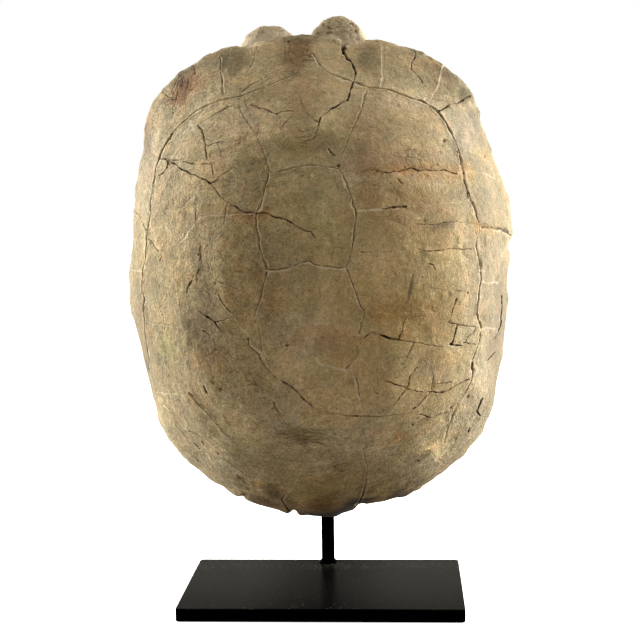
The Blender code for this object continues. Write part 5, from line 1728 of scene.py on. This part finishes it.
@dataclass
class Studio:
    """Pale floor, soft lights and the camera."""

    camera_place: tuple[float, float, float] = (0.0587, -1.0398, 0.3087)
    yaw: float = 3.26
    pitch: float = 5.83
    roll: float = -0.80
    focal_length: float = 82.125
    floor_reach: float = 6.0
    middle: tuple[float, float, float] = (0.0, 0.02, 0.226)
    fill: Shade = (0.47, 0.435, 0.375)

    def camera(self) -> None:
        """Camera at the photograph's viewing angle."""
        data = bpy.data.cameras.new("camera")
        data.lens = self.focal_length
        data.sensor_width = 36.0
        data.clip_start, data.clip_end = 0.02, 50.0
        camera = bpy.data.objects.new("camera", data)
        bpy.context.scene.collection.objects.link(camera)
        camera.matrix_world = (
            Matrix.Translation(self.camera_place)
            @ Matrix.Rotation(math.radians(self.yaw), 4, "Z")
            @ Matrix.Rotation(math.radians(90.0 - self.pitch), 4, "X")
            @ Matrix.Rotation(math.radians(self.roll), 4, "Z"))
        bpy.context.scene.camera = camera

    def floor(self) -> None:
        """Round pale floor under the stand."""
        bm = bmesh.new()
        bmesh.ops.create_circle(bm, cap_ends=True, segments=96, radius=self.floor_reach)
        floor = show("floor", mesh_of("floor", bm))
        floor.location.z = -0.0005
        floor.data.materials.append(StudioPaper().material())
        floor.visible_diffuse = floor.visible_glossy = floor.visible_shadow = False

    def world(self) -> None:
        """White surroundings, dimmer as light than as a background."""
        world = bpy.data.worlds.new("studio")
        bpy.context.scene.world = world
        world.use_nodes = True
        nodes, links = world.node_tree.nodes, world.node_tree.links
        rays = nodes.new("ShaderNodeLightPath")
        seen = nodes.new("ShaderNodeMix")
        seen.data_type = "RGBA"
        seen.inputs[6].default_value = (*self.fill, 1.0)
        seen.inputs[7].default_value = (1.0, 1.0, 1.0, 1.0)
        links.new(rays.outputs["Is Camera Ray"], seen.inputs[0])
        links.new(seen.outputs[2], nodes["Background"].inputs["Color"])

    def light(self, box: SoftBox) -> None:
        """Add one soft box.

        Args:
            box: The soft box to add.
        """
        data = bpy.data.lights.new(box.name, "AREA")
        data.shape = "SQUARE"
        data.size = box.size
        data.energy = box.power
        data.color = box.colour
        lamp = bpy.data.objects.new(box.name, data)
        bpy.context.scene.collection.objects.link(lamp)
        turn, lift = math.radians(box.bearing), math.radians(box.elevation)
        away = Vector((math.sin(turn) * math.cos(lift), -math.cos(turn) * math.cos(lift), math.sin(lift)))
        lamp.location = Vector(self.middle) + away * box.distance
        lamp.rotation_euler = (-away).to_track_quat("-Z", "Y").to_euler()

    def build(self) -> None:
        """Set up floor, lights, surroundings and camera."""
        bpy.context.scene.view_settings.view_transform = "Standard"
        self.floor()
        self.world()
        for box in SOFT_BOXES:
            self.light(box)
        self.camera()


def main() -> None:
    """Load the frame, build the pieces and dress them."""
    logging.basicConfig(level=logging.INFO, format="%(message)s")
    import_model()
    bone = FossilBone().material()
    steel = BlackSteel().material()
    stand = Stand()
    pieces = [
        (FossilShell(ShellForm()).build(), bone, "fossil_bone", "fossil_shell"),
        (stand.base_plate(), steel, "black_steel", "base_plate"),
        (stand.post(), steel, "black_steel", "post"),
        (stand.weld(), steel, "black_steel", "post"),
    ]
    for piece, material, slot, node in pieces:
        piece.data.materials.clear()
        piece.data.materials.append(material)
        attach(piece, "root")
        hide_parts(node)
        triangles = sum(len(polygon.vertices) - 2 for polygon in piece.data.polygons)
        LOG.info("%s: %d triangles, stands for %s", piece.name, triangles, node)
    Studio().build()


if __name__ == "__main__":
    main()
